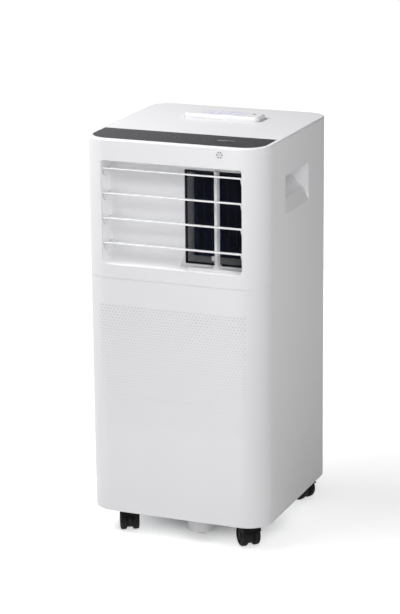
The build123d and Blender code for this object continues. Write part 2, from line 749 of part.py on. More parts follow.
def slat(index):
    """One slat: a thin blade, an ear and pin at each end, and a crank arm on the left pin."""
    z, pivot_z = SLAT_Z[index], PIVOT_Z[index]
    section = RectangleRounded(SLAT_CHORD, SLAT_T, SLAT_T * 0.48)
    section = Pos(SLAT_Y, z) * Rot(0, 0, -SLAT_TILT) * Pos(SLAT_CHORD / 2, 0) * section
    body = prism_x(section, (-EAR_X, EAR_X))
    rear_y = SLAT_Y + SLAT_CHORD * cos(radians(SLAT_TILT))
    rear_z = z - SLAT_CHORD * sin(radians(SLAT_TILT))
    reach = PIVOT_BOSS_R * 0.9
    corners = [
        (SLAT_Y + SLAT_T, z),
        (PIVOT_Y - reach, pivot_z - reach / 2),
        (PIVOT_Y + reach, pivot_z - reach / 2),
        (rear_y - SLAT_T / 2, rear_z),
    ]
    ear = make_face(Polyline(*corners, close=True)) + Pos(PIVOT_Y, pivot_z) * Circle(PIVOT_BOSS_R)
    for side in (-1, 1):
        body += prism_x(ear, sorted((side * (EAR_X - EAR_T), side * EAR_X)))
    pivot = (PIVOT_Y, pivot_z)
    body += rod("x", (EAR_X, WINDOW_X + FRAME_T - FIT), pivot, PIVOT_R)
    body += rod("x", (CRANK_X, -EAR_X), pivot, PIVOT_R)
    return body + crank(CRANK_X, PIVOT_Y, pivot_z)


def crank(x, y, z):
    """A crank arm from x to the left, pointing back, with a pin that enters the link bar."""
    arm = rect((y, y + CRANK_R), (z - CRANK_W / 2, z + CRANK_W / 2))
    arm += Pos(y, z) * Circle(CRANK_W / 2) + Pos(y + CRANK_R, z) * Circle(CRANK_W / 2)
    body = prism_x(arm, (x - CRANK_T, x))
    pin = (x - CRANK_T - LINK_GAP - LINK_T, x - CRANK_T)
    return body + rod("x", pin, (y + CRANK_R, z), CRANK_PIN_R)


def slat_link():
    """The upright bar on all four crank pins, with an arm back to the motor's crank."""
    y = PIVOT_Y + CRANK_R
    x = (LINK_X - LINK_T, LINK_X)
    half = LINK_W / 2
    bar = rect((y - half, y + half), (PIVOT_Z[-1] - half, PIVOT_Z[0] + half))
    bar += rect((y, y + SWING_BACK + half), (SWING_Z - half, SWING_Z + half))
    link = prism_x(bar, x)
    for z in PIVOT_Z:
        link -= rod("x", (x[0] - 1, x[1] + 1), (y, z), CRANK_PIN_R + RUN)
    return link - rod("x", (x[0] - 1, x[1] + 1), (y + SWING_BACK, SWING_Z), CRANK_PIN_R + RUN)


def swing_crank():
    """The motor's crank, parallel to the slats' cranks, its pin pointing right into the link."""
    arm = crank(0, SWING_Y, SWING_Z)
    arm = mirror(arm, about=Plane.YZ)
    arm = Pos(SWING_CRANK_X - CRANK_T, 0, 0) * arm
    shaft = (SWING_CRANK_X - 2 * CRANK_T, SWING_CRANK_X + CRANK_T)
    return arm - rod("x", shaft, (SWING_Y, SWING_Z), SWING_SHAFT_R + RUN)


def swing_motor():
    body = rod("x", (SWING_X - SWING_L, SWING_X), (SWING_Y, SWING_Z), SWING_R)
    lug = rect((SWING_Y - CRANK_W / 2, SWING_Y + CRANK_W / 2),
               (SWING_Z - SWING_LUG, SWING_Z + SWING_LUG))
    body += prism_x(lug, (SWING_X - SWING_LUG_T, SWING_X))
    return body + rod("x", (SWING_X, SWING_CRANK_X - FIT), (SWING_Y, SWING_Z), SWING_SHAFT_R)


def room_sensor():
    """A small holder behind the ring of holes, hollow towards the front."""
    z = HEIGHT - SENSOR_DROP
    half = SENSOR_BOX / 2
    y = (FRONT_IN_Y + FIT, FRONT_IN_Y + FIT + SENSOR_DEEP)
    holder = block((SENSOR_X - half, SENSOR_X + half), y, (z - half, z + half))
    return holder - rod("y", (y[0] - 1, y[1] - LAP_T), (SENSOR_X, z), SENSOR_RING_R + SENSOR_HOLE_R)


# ---------------------------------------------------------------- blowers
def volute(x, z, radius, step, top, left, grow=0.0):
    """A scroll of three quarter arcs that widen by a step, then a throat going up on the right."""
    shape = Pos(x, z) * Circle(radius + grow)
    second, third = radius + step, radius + 2 * step
    low_left = Pos(x + step, z) * Circle(second + grow)
    shape += low_left & rect((-FAR, x + step), (-FAR, z))
    low_right = Pos(x + step, z + step) * Circle(third + grow)
    shape += low_right & rect((x + step, FAR), (-FAR, z + step))
    right = x + step + third
    return shape + rect((left, right), (z, top), grow)


def blower_wheel(x, z, radius, width, y0):
    """A squirrel-cage wheel on a Y axis: a plate in front, leaning blades, a ring at the rear."""
    y1 = y0 + width
    wheel = rod("y", (y0, y0 + WHEEL_PLATE), (0, 0), radius)
    wheel += tube("y", (y1 - WHEEL_RING, y1), (0, 0), radius, radius - BLADE_CHORD)
    middle = radius - BLADE_CHORD / 2
    blade = Pos(middle, (y0 + y1) / 2, 0) * Rot(0, BLADE_LEAN, 0) * Box(BLADE_CHORD, width - 1, BLADE_T)
    for index in range(BLADES):
        wheel += Rot(0, 360.0 * index / BLADES, 0) * blade
    wheel = wheel & rod("y", (y0, y1), (0, 0), radius)
    wheel += rod("y", (y0, y0 + HUB_L), (0, 0), HUB_R)
    wheel -= rod("y", (y0 - 1, y0 + HUB_L + 1), (0, 0), SHAFT_R + RUN)
    return Pos(x, 0, z) * wheel


def fan_motor(x, z, radius, length, y0):
    """A flat motor on the scroll's front wall, its shaft reaching into the wheel's hub."""
    motor = rod("y", (y0, y0 + length), (x, z), radius)
    motor = fillet(motor.edges().filter_by(GeomType.CIRCLE), WHEEL_EDGE_R)
    return motor + rod("y", (y0 + length, y0 + length + WHEEL_CLEAR + HUB_L), (x, z), SHAFT_R)


UP_CAVITY_Y0 = UP_SCROLL_Y0 + SCROLL_WALL
LOW_CAVITY_Y0 = LOW_SCROLL_Y0 + SCROLL_WALL
PLENUM_X = (PORT_X - PORT_R - PLENUM_MARGIN, PORT_X + PORT_R + PLENUM_MARGIN)
PLENUM_Z = (PORT_Z - PORT_R - PLENUM_MARGIN, PORT_Z + PORT_R + PLENUM_MARGIN)


def upper_scroll():
    def shape(grow):
        return volute(UP_SCROLL_X, UP_SCROLL_Z, UP_VOLUTE_R, UP_VOLUTE_GROW,
                      OUTLET_Z1, OUTLET_X0 + FRAME_T, grow)

    y = (UP_SCROLL_Y0, UP_SCROLL_REAR)
    scroll = prism_y(shape(SCROLL_WALL), y)
    scroll -= prism_y(shape(0.0), (y[0] + SCROLL_WALL, y[1] - SCROLL_WALL))
    scroll += rod("y", (y[1], y[1] + MOUTH_LIP), (UP_SCROLL_X, UP_SCROLL_Z), UP_MOUTH_R + SCROLL_WALL)
    scroll -= rod("y", (y[1] - WALL, y[1] + MOUTH_LIP + 1), (UP_SCROLL_X, UP_SCROLL_Z), UP_MOUTH_R)
    opening = outlet(-FRAME_T) & shape(-SCROLL_WALL)
    return scroll - prism_y(opening, (y[0] - 1, y[0] + SCROLL_WALL + 1))


def lower_scroll():
    """The exhaust scroll with the box that leads its air back to the round port."""
    def shape(grow):
        return volute(LOW_SCROLL_X, LOW_SCROLL_Z, LOW_VOLUTE_R, LOW_VOLUTE_GROW,
                      PLENUM_Z[1], PLENUM_X[0], grow)

    y = (LOW_SCROLL_Y0, LOW_SCROLL_Y1)
    plenum = rect(PLENUM_X, PLENUM_Z)
    grown = rect(PLENUM_X, PLENUM_Z, SCROLL_WALL)
    centre = (LOW_SCROLL_X, LOW_SCROLL_Z)
    scroll = prism_y(shape(SCROLL_WALL), y) + prism_y(grown, (y[0], PLENUM_REAR))
    scroll += rod("y", (y[1], y[1] + MOUTH_LIP), centre, LOW_MOUTH_R + SCROLL_WALL)
    for x in (LOW_SCROLL_X - SCROLL_LEG_X, LOW_SCROLL_X + SCROLL_LEG_X):
        leg = (x - SCROLL_LEG_T / 2, x + SCROLL_LEG_T / 2)
        scroll += block(leg, (y[1] - SCROLL_LEG_W, y[1]), (BASE_TOP, LOW_SCROLL_Z))
    scroll -= prism_y(shape(0.0), (y[0] + SCROLL_WALL, y[1] - SCROLL_WALL))
    scroll -= prism_y(plenum, (y[0] + SCROLL_WALL, PLENUM_REAR - SCROLL_WALL))
    scroll -= rod("y", (y[1] - WALL, y[1] + MOUTH_LIP + 1), centre, LOW_MOUTH_R)
    return scroll - rod("y", (PLENUM_REAR - WALL, PLENUM_REAR + 1), (PORT_X, PORT_Z), PORT_R)


def exhaust_collar():
    """A round outlet for the exhaust hose, flush with the rear panel."""
    at = (PORT_X, PORT_Z)
    outer = PORT_R + PORT_WALL
    collar = rod("y", (PLENUM_REAR + FIT, REAR_Y), at, outer)
    flange = (REAR_IN_Y - FIT - PORT_FLANGE_T, REAR_IN_Y - FIT)
    collar += rod("y", flange, at, outer + PORT_FLANGE)
    return collar - rod("y", (PLENUM_REAR, REAR_Y + 1), at, PORT_R)


def splash_wheel():
    """A paddle wheel that dips in the base's water and throws it on the condenser."""
    y0 = SPLASH_MOTOR_Y + SPLASH_MOTOR_L + SPLASH_GAP
    wheel = rod("y", (y0, y0 + BLADE_T), (0, 0), SPLASH_R)
    paddle = Pos(SPLASH_R * 0.7, y0 + SPLASH_W / 2, 0) * Box(SPLASH_R * 0.58, SPLASH_W, BLADE_T)
    for index in range(PADDLES):
        wheel += Rot(0, 360.0 * index / PADDLES, 0) * paddle
    wheel += rod("y", (y0, y0 + SPLASH_W), (0, 0), AXLE_R + LAP_T)
    wheel -= rod("y", (y0 - 1, y0 + SPLASH_W + 1), (0, 0), AXLE_R + RUN)
    return Pos(SPLASH_X, 0, SPLASH_Z) * wheel


def splash_motor():
    y = (SPLASH_MOTOR_Y, SPLASH_MOTOR_Y + SPLASH_MOTOR_L)
    at = (SPLASH_X, SPLASH_Z)
    motor = rod("y", y, at, SPLASH_MOTOR_R)
    half = SPLASH_MOTOR_R / 2
    motor += block((SPLASH_X - half, SPLASH_X + half), (y[0] + LAP, y[1] - LAP), (BASE_TOP, SPLASH_Z))
    return motor + rod("y", (y[1], y[1] + SPLASH_GAP + SPLASH_W), at, AXLE_R)


# ---------------------------------------------------------------- coils, compressor and pipes
def coil(x, y0, z0, height):
    """A finned coil as a block, with the tube bends that stand out at its right end."""
    body = block(x, (y0, y0 + COIL_T), (z0, z0 + height))
    bend = Torus(BEND_R, BEND_TUBE_R)
    bend = keep(bend, x=(0, FAR)) + rod("x", (-LAP, 0), (BEND_R, 0), BEND_TUBE_R)
    bend += rod("x", (-LAP, 0), (-BEND_R, 0), BEND_TUBE_R)
    pitch = height / BENDS
    for index in range(BENDS):
        body += Pos(x[1] + BEND_TUBE_R, y0 + COIL_T / 2, z0 + (index + 0.5) * pitch) * bend
    return body


def evaporator():
    return coil((-EVAP_W / 2, EVAP_W / 2), EVAP_Y, COIL_Z["evaporator"], EVAP_H)


def condenser():
    return coil((COND_X0, COND_X1), COND_Y, COIL_Z["condenser"], COND_H)


def stud_places():
    return [(COMP_X + x, COMP_Y + y) for x, y in ring_points(STUDS, STUD_RING_R, 30)]


def compressor():
    z0 = COMP_FOOT_Z
    body = rod("z", (z0, z0 + COMP_FOOT_T), (COMP_X, COMP_Y), COMP_FOOT_R)
    for x, y in stud_places():
        body -= rod("z", (z0 - 1, z0 + COMP_FOOT_T + 1), (x, y), STUD_R + FIT)
    shell = rod("z", (z0 + COMP_FOOT_T, COMP_TOP), (COMP_X, COMP_Y), COMP_R)
    body += fillet(shell.edges().group_by(Axis.Z)[-1], COMP_CROWN_R)
    middle = BASE_TOP + ACC_LIFT + ACC_H / 2
    clamp = block((COMP_X, ACC_X), (COMP_Y - CLAMP_H, COMP_Y + CLAMP_H), (middle, middle + CLAMP_H))
    return body + (clamp - rod("z", (0, HEIGHT), (ACC_X, COMP_Y), ACC_R + FIT))


def accumulator():
    z0 = BASE_TOP + ACC_LIFT
    can = rod("z", (z0, z0 + ACC_H), (ACC_X, COMP_Y), ACC_R)
    return fillet(can.edges().filter_by(GeomType.CIRCLE), ACC_R / 2)


def compressor_grommets():
    z = (BASE_TOP, BASE_TOP + GROMMET_H)
    return Compound(children=[tube("z", z, at, GROMMET_R, STUD_R + FIT) for at in stud_places()])


def pipe(points, radius):
    path = FilletPolyline(*points, radius=PIPE_BEND_R) if len(points) > 2 else Line(*points)
    return sweep(Plane(path @ 0, z_dir=path % 0) * Circle(radius), path=path)


def refrigerant_pipes():
    """Discharge, suction, liquid line with its drier, and the accumulator's outlet."""
    coil_y = COND_Y + COIL_T / 2
    evap_y = EVAP_Y + COIL_T / 2
    cond_top = COIL_Z["condenser"] + COND_H
    evap_low = COIL_Z["evaporator"]
    acc_low = BASE_TOP + ACC_LIFT
    start = (COMP_X + COMP_R / 3, COMP_Y)
    discharge = pipe([(*start, COMP_TOP), (*start, DISCHARGE_Z), (PIPE_X, COMP_Y, DISCHARGE_Z),
                      (PIPE_X, coil_y, DISCHARGE_Z), (PIPE_X, coil_y, cond_top)], PIPE_R)
    suction = pipe([(ACC_X, COMP_Y, acc_low + ACC_H), (ACC_X, COMP_Y, SUCTION_Z),
                    (SUCTION_X, COMP_Y, SUCTION_Z), (SUCTION_X, evap_y, SUCTION_Z),
                    (SUCTION_X, evap_y, evap_low)], PIPE_R)
    liquid = rod("z", (cond_top, evap_low), (LIQUID_X, coil_y), LIQUID_R)
    drier_z = (cond_top + evap_low - DRIER_L) / 2
    liquid += rod("z", (drier_z, drier_z + DRIER_L), (LIQUID_X, coil_y), DRIER_R)
    inlet_x = COMP_X + COMP_R + FIT
    inlet = pipe([(ACC_X, COMP_Y, acc_low), (ACC_X, COMP_Y, acc_low - 2 * PIPE_BEND_R),
                  (inlet_x, COMP_Y, acc_low - 2 * PIPE_BEND_R)], PIPE_R)
    return Compound(children=[discharge, suction, liquid, inlet])


# ---------------------------------------------------------------- base, tray, drains, electrics
def base_pan():
    inset = WALL + FIT
    pan = prism_z(footprint(inset), (BASE_Z, BASE_TOP))
    pan += casing_ring(inset, BASE_RIM_T, (BASE_Z, BASE_TOP + BASE_RIM_H))
    for at in STEMS:
        pan += rod("z", (BASE_Z, BASE_Z + STEM_L + LAP_T), at, SOCKET_R)
        pan -= rod("z", (BASE_Z - 1, BASE_Z + STEM_L), at, STEM_R + RUN)
    for at in stud_places():
        pan += rod("z", (BASE_TOP, COMP_FOOT_Z + 2 * COMP_FOOT_T), at, STUD_R)
    for x in (COND_X0 + LAP, COND_X1 - LAP):
        rail = (x - LAP_T, x + LAP_T)
        pan += block(rail, (COND_Y, COND_Y + COIL_T), (BASE_TOP, BASE_TOP + COND_PAD))
    return pan - rod("z", (BASE_Z - 1, BASE_TOP + 1), (DRAIN_X, DRAIN_Y), DRAIN_NECK_R + RUN)


def drain_spout():
    at = (DRAIN_X, DRAIN_Y)
    spout = rod("z", (DRAIN_LOW_Z, BASE_Z), at, DRAIN_R)
    spout += tube("z", (DRAIN_SKIRT_Z, BASE_Z), at, DRAIN_SKIRT_R, DRAIN_SKIRT_R - DRAIN_SKIRT_T)
    spout += rod("z", (BASE_Z - DRAIN_FLANGE_H, BASE_Z), at, DRAIN_SKIRT_R)
    spout += rod("z", (BASE_Z, BASE_TOP), at, DRAIN_NECK_R)
    return spout - rod("z", (DRAIN_LOW_Z - 1, BASE_TOP + 1), at, DRAIN_BORE_R)


def drain_cap():
    at = (DRAIN_X, DRAIN_Y)
    cap = rod("z", (DRAIN_LOW_Z - CAP_RIM_H - FIT, DRAIN_LOW_Z - FIT), at, DRAIN_R)
    return cap + rod("z", (DRAIN_LOW_Z - FIT, DRAIN_LOW_Z + CAP_PLUG_H), at, DRAIN_BORE_R - RUN)


def drain_tray():
    """The shelf between the compartments: it catches the evaporator's water and has a rear port."""
    tray = prism_z(footprint(TRAY_INSET), (TRAY_Z0, TRAY_TOP))
    tray += casing_ring(TRAY_INSET, TRAY_RIM_T, (TRAY_Z0, TRAY_TOP + TRAY_RIM_H))
    z = TRAY_TOP + TRAY_PORT_RISE
    port = (REAR_Y - TRAY_PORT_L, REAR_Y - FIT)
    tray += rod("y", port, (TRAY_PORT_X, z), TRAY_PORT_R)
    tray -= rod("y", (REAR_Y - TRAY_INSET - 2 * TRAY_PORT_L, REAR_Y + 1), (TRAY_PORT_X, z), TRAY_PORT_BORE)
    evap_y = EVAP_Y + COIL_T / 2
    holes = ((SUCTION_X, evap_y, PIPE_R), (LIQUID_X, COND_Y + COIL_T / 2, LIQUID_R))
    for x, y, radius in holes:
        tray -= rod("z", (TRAY_Z0 - 1, TRAY_TOP + 1), (x, y), radius + PIPE_HOLE_GAP)
    for x in (-EVAP_W / 2 + PAD_SET, EVAP_W / 2 - PAD_SET):
        pad = (x - LAP_T, x + LAP_T)
        tray += block(pad, (EVAP_Y, EVAP_Y + COIL_T), (TRAY_TOP, TRAY_TOP + COIL_PAD))
    return tray


def tray_plug():
    z = TRAY_TOP + TRAY_PORT_RISE
    y1 = REAR_Y - FIT
    return rod("y", (y1 - PLUG_L, y1), (TRAY_PORT_X, z), TRAY_PORT_BORE - RUN)


def electrical_box():
    """A box hung under the tray, open to the front panel."""
    z = (TRAY_Z0 - FIT - EBOX_H, TRAY_Z0 - FIT)
    box = block((EBOX_X0, EBOX_X1), (EBOX_Y0, EBOX_Y1), z)
    inside = EBOX_WALL
    box -= block((EBOX_X0 + inside, EBOX_X1 - inside), (EBOX_Y0 - 1, EBOX_Y1 - inside),
                 (z[0] + inside, z[1] - inside))
    stand = (EBOX_Y1 - EBOX_WALL - BOARD_STAND, EBOX_Y1 - EBOX_WALL)
    edge = EBOX_WALL + BOARD_MARGIN + LAP_T
    for x in (EBOX_X0 + edge, EBOX_X1 - edge):
        for height in (z[0] + edge, z[1] - edge):
            box += rod("y", stand, (x, height), LAP_T)
    return box


def main_board():
    """The control board, standing on the box's four pillars, with its larger parts."""
    z = (TRAY_Z0 - FIT - EBOX_H, TRAY_Z0 - FIT)
    edge = EBOX_WALL + BOARD_MARGIN
    rear = EBOX_Y1 - EBOX_WALL - BOARD_STAND
    x = (EBOX_X0 + edge, EBOX_X1 - edge)
    board = block(x, (rear - BOARD_T, rear), (z[0] + edge, z[1] - edge))
    high = z[1] - 2 * edge
    parts = (  # width, depth and height of the relay, transformer, filter choke and connector row
        (16.0, 15.0, 19.0),
        (26.0, 20.0, 24.0),
        (18.0, 18.0, 18.0),
    )
    left = x[0] + edge
    for width, depth, height in parts:
        span = (left, left + width)
        board += block(span, (rear - BOARD_T - depth, rear - BOARD_T), (high - height, high))
        left += width + edge
    return board


def run_capacitor():
    z0 = TRAY_Z0 - FIT - EBOX_H + EBOX_WALL
    at = (EBOX_X1 - EBOX_WALL - FIT - CAP_R, EBOX_Y0 + EBOX_WALL + CAP_R)
    can = rod("z", (z0, z0 + CAP_H), at, CAP_R)
    return fillet(can.edges().group_by(Axis.Z)[-1], WHEEL_EDGE_R)


def display_board():
    """The board of lights and touch pads against the cover, under the control strip."""
    front = FRONT_Y + FRONT_R / 2
    return block((-DISPLAY_L / 2, DISPLAY_L / 2), (front, front + DISPLAY_W),
                 (COVER_Z - FIT - BOARD_T, COVER_Z - FIT))


def cord_gland():
    """A bush in the rear recess that the mains lead would pass through."""
    at = (CORD_X, CORD_Z)
    floor = REAR_Y - CORD_CUP_DEPTH
    gland = rod("y", (floor - WALL - LAP_T, floor), at, CORD_BUSH_R)
    gland += rod("y", (floor, floor + LAP_T), at, CORD_BUSH_R + LAP_T)
    gland += rod("y", (floor, REAR_Y - LAP_T), at, CORD_BUSH_R - RUN)
    return gland - rod("y", (floor - LAP, REAR_Y), at, CORD_BORE_R)


# ---------------------------------------------------------------- grilles and filter
def grille_plate(width, z, columns):
    """Rows of slots between upright posts, as a sketch of (x, z)."""
    plate = rear_opening(width, z, -FIT)
    inner_w = width - 2 * GRILLE_BORDER
    rows = int((z[1] - z[0] - 2 * GRILLE_BORDER) / GRILLE_PITCH)
    low = (z[0] + z[1] - (rows - 1) * GRILLE_PITCH) / 2
    slot_w = (inner_w - (columns - 1) * GRILLE_POST) / columns
    slots = []
    for column in range(columns):
        x = -inner_w / 2 + slot_w / 2 + column * (slot_w + GRILLE_POST)
        for row in range(rows):
            slots.append(Pos(x, low + row * GRILLE_PITCH) * Rectangle(slot_w, GRILLE_SLOT))
    return plate - slots


def upper_grille():
    """The intake grille that pulls off the rear, with a frame behind it that holds the filter."""
    width, z = UP_GRILLE
    grille = prism_y(grille_plate(width, z, 4), (REAR_IN_Y + FIT, REAR_IN_Y + GRILLE_T))
    outer = LEDGE + FIT
    frame = rear_opening(width, z, -outer) - rear_opening(width, z, -outer - LAP_T)
    grille += prism_y(frame, (REAR_IN_Y - LEDGE_T - FILTER_T, REAR_IN_Y + FIT))
    return grille


def upper_filter():
    """A framed screen that lies in the grille's frame."""
    width, z = UP_GRILLE
    edge = LEDGE + LAP_T + 2 * FIT
    y1 = REAR_IN_Y
    y = (y1 - FILTER_T, y1)
    outer = rear_opening(width, z, -edge)
    frame = outer - rear_opening(width, z, -edge - FILTER_FRAME)
    body = prism_y(frame, y)
    body += prism_y(outer, (y[0], y[0] + FILTER_SCREEN_T))
    for x in (-width / 6, width / 6):
        body += block((x - FILTER_RIB / 2, x + FILTER_RIB / 2), y, (z[0] + edge, z[1] - edge))
    middle = (z[0] + z[1]) / 2
    half = width / 2 - edge
    return body + block((-half, half), y, (middle - FILTER_RIB / 2, middle + FILTER_RIB / 2))


def lower_grille():
    """The condenser's intake grille, screwed to the ledge of its opening."""
    width, z = LOW_GRILLE
    grille = prism_y(grille_plate(width, z, 4), (LOW_SEAT_Y, LOW_SEAT_Y + GRILLE_T))
    for at in screw_places():
        grille -= rod("y", (LOW_SEAT_Y - 1, REAR_Y), at, SCREW_R + FIT)
    return grille


def grille_screws():
    screws = []
    face = LOW_SEAT_Y + GRILLE_T
    for at in screw_places():
        head = rod("y", (face, face + SCREW_HEAD_H), at, SCREW_HEAD_R)
        screws.append(head + rod("y", (face - SCREW_L, face), at, SCREW_R))
    return Compound(children=screws)


# ---------------------------------------------------------------- castors
def castor_fork():
    """Neck, stem, hood and web of one castor, with its stem on the Z axis and its trail to -Y."""
    centre = (-TRAIL, WHEEL_R)
    web = Pos(*centre) * Circle(WEB_R)
    web += rect((-TRAIL, NECK_R), (WHEEL_R, hood_top()))
    hood_r = WHEEL_R + HOOD_GAP
    hood = Pos(*centre) * (Circle(hood_r + HOOD_T) - Circle(hood_r))
    low = WHEEL_R + WHEEL_R * 0.55
    hood = hood & rect((-FAR, FAR), (low, FAR))
    half = WEB_T / 2 + WEB_GAP + WHEEL_W
    fork = prism_x(web, (-WEB_T / 2, WEB_T / 2)) + prism_x(hood, (-half, half))
    neck = (hood_top() - HOOD_T, BASE_Z - FIT)
    fork += rod("z", neck, (0, 0), NECK_R) - prism_x(Pos(*centre) * Circle(hood_r), (-half, half))
    fork += rod("z", (neck[1], BASE_Z + STEM_L - FIT), (0, 0), STEM_R)
    return fork - rod("x", (-half, half), centre, AXLE_R + RUN)


def hood_top():
    return 2 * WHEEL_R + HOOD_GAP + HOOD_T


def castor_wheels():
    """Two wheels on their axle."""
    centre = (-TRAIL, WHEEL_R)
    inner = WEB_T / 2 + WEB_GAP
    outer = inner + WHEEL_W
    pair = rod("x", (-outer, outer), centre, AXLE_R)
    for side in (-1, 1):
        wheel = rod("x", sorted((side * inner, side * outer)), centre, WHEEL_R)
        wheel = fillet(wheel.edges().filter_by(GeomType.CIRCLE), WHEEL_EDGE_R)
        dish = sorted((side * (outer - WHEEL_DISH), side * (outer + 1)))
        wheel -= rod("x", dish, centre, WHEEL_R * 0.7) - rod("x", dish, centre, AXLE_R * 2)
        pair += wheel
    return pair


# ---------------------------------------------------------------- nodes
NODES = {
    "base_pan": base_pan,
    "front_panel_upper": front_panel_upper,
    "front_panel_lower": front_panel_lower,
    "side_panel_left": lambda: side_panel(-1),
    "side_panel_right": lambda: side_panel(1),
    "rear_panel": rear_panel,
    "top_cover": top_cover,
    "control_strip": control_strip,
    "louvre_frame": louvre_frame,
    "safety_mesh": safety_mesh,
    "slat_rib": slat_rib,
    "guide_vanes": guide_vanes,
    "slat_link": slat_link,
    "swing_crank": swing_crank,
    "swing_motor": swing_motor,
    "room_sensor": room_sensor,
    "upper_scroll": upper_scroll,
    "upper_wheel": lambda: blower_wheel(
        UP_SCROLL_X, UP_SCROLL_Z, UP_WHEEL_R, UP_WHEEL_W, UP_CAVITY_Y0 + UP_MOTOR_L + WHEEL_CLEAR),
    "upper_motor": lambda: fan_motor(UP_SCROLL_X, UP_SCROLL_Z, UP_MOTOR_R, UP_MOTOR_L, UP_CAVITY_Y0),
    "evaporator": evaporator,
    "drain_tray": drain_tray,
    "tray_plug": tray_plug,
    "upper_grille": upper_grille,
    "upper_filter": upper_filter,
    "lower_scroll": lower_scroll,
    "lower_wheel": lambda: blower_wheel(
        LOW_SCROLL_X, LOW_SCROLL_Z, LOW_WHEEL_R, LOW_WHEEL_W, LOW_CAVITY_Y0 + LOW_MOTOR_L + WHEEL_CLEAR),
    "lower_motor": lambda: fan_motor(
        LOW_SCROLL_X, LOW_SCROLL_Z, LOW_MOTOR_R, LOW_MOTOR_L, LOW_CAVITY_Y0),
    "condenser": condenser,
    "lower_grille": lower_grille,
    "grille_screws": grille_screws,
    "exhaust_collar": exhaust_collar,
    "compressor": compressor,
    "accumulator": accumulator,
    "compressor_grommets": compressor_grommets,
    "refrigerant_pipes": refrigerant_pipes,
    "splash_wheel": splash_wheel,
    "splash_motor": splash_motor,
    "electrical_box": electrical_box,
    "main_board": main_board,
    "run_capacitor": run_capacitor,
    "display_board": display_board,
    "cord_gland": cord_gland,
    "drain_spout": drain_spout,
    "drain_cap": drain_cap,
    "remote_case": remote_case,
    "remote_back": remote_back,
    "remote_keypad": remote_keypad,
}
CORNERS = ("front_left", "front_right", "rear_left", "rear_right")


def main():
    os.makedirs("parts", exist_ok=True)
    parts = {name: make() for name, make in NODES.items()}
    for index in range(SLATS):
        parts[f"slat_{index + 1}"] = slat(index)
    fork, wheels = castor_fork(), castor_wheels()
    for corner, (x, y), turn in zip(CORNERS, STEMS, CASTOR_TURNS):
        place = Pos(x, y, 0) * Rot(0, 0, turn)
        parts[f"castor_fork_{corner}"] = place * fork
        parts[f"castor_wheels_{corner}"] = place * wheels
    for name, part in parts.items():
        export_step(part, f"parts/{name}.step")


main()
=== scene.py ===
# %% [markdown]
# # A portable air conditioner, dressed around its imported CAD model
# The construction model already holds every working part in metres: the casing, the four slats,
# the coils, the blowers and the castors. This lesson keeps those bodies where they are, gives each
# of them a finish that follows the real material, and adds the pieces that only matter to the eye,
# such as the dimples of the lower front, the keys of the remote and the print on the control strip.

# %% Load the frame
from math import cos, pi, radians, sin, sqrt

import bmesh
import bpy
from mathutils import Matrix, Vector


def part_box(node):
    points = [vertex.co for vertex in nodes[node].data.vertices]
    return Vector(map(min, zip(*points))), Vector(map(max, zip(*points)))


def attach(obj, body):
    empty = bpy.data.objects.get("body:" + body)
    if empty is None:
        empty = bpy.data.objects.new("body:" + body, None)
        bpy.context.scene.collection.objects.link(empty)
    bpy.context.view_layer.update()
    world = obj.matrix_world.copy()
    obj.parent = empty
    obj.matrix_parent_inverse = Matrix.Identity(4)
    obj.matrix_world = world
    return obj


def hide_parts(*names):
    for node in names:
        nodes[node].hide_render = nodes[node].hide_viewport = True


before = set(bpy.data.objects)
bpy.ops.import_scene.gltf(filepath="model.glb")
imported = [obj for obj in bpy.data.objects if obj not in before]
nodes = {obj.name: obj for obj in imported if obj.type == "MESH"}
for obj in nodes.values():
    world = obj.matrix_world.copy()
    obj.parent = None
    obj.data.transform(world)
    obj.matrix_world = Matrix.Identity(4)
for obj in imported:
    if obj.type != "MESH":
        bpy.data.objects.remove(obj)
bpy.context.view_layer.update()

# %% [markdown]
# ## The camera
# A tall appliance is usually shown through a long lens from well back and a little above, so that
# its upright edges stay nearly upright. A constraint could aim the camera, but a place and three
# angles are plainer and repeat exactly: a turn to the left, a tilt down and a slight roll. The lens
# is about 137 mm on a 36 mm frame.

# %% Camera
CAMERA_AT = (1.4822, -3.6420, 1.5009)
CAMERA_TURN, CAMERA_TILT, CAMERA_ROLL = 22.372, 15.891, 0.599  # degrees
CAMERA_LENS, FRAME_WIDTH = 137.28, 36.0  # mm
LEVEL_TILT = 90  # degrees from looking straight down to looking level

camera = bpy.data.objects.new("camera", bpy.data.cameras.new("camera"))
bpy.context.scene.collection.objects.link(camera)
camera.data.lens = CAMERA_LENS
camera.data.sensor_width = FRAME_WIDTH
turn = Matrix.Rotation(radians(CAMERA_TURN), 3, "Z")
tilt = Matrix.Rotation(radians(LEVEL_TILT - CAMERA_TILT), 3, "X")
roll = Matrix.Rotation(radians(-CAMERA_ROLL), 3, "Z")
camera.location = CAMERA_AT
camera.rotation_euler = (turn @ tilt @ roll).to_euler()
bpy.context.scene.camera = camera
print("camera to object:", round(camera.location.length, 3), "m")

# %% [markdown]
# ## Shader maths as plain expressions
# A node tree can be wired node by node, but its arithmetic is easier to read when it is written as
# arithmetic. A small class wraps an output socket, and each operator on it adds one Math node. A
# second class holds a material's tree and adds any other node from its type, its settings and the
# values or links of its inputs.

# %% Shader helpers
COAT_ROUGHNESS = 0.15
MIX_FACTOR, MIX_LOW, MIX_HIGH, MIX_RESULT = 0, 6, 7, 2  # a Mix node's sockets when it mixes colours


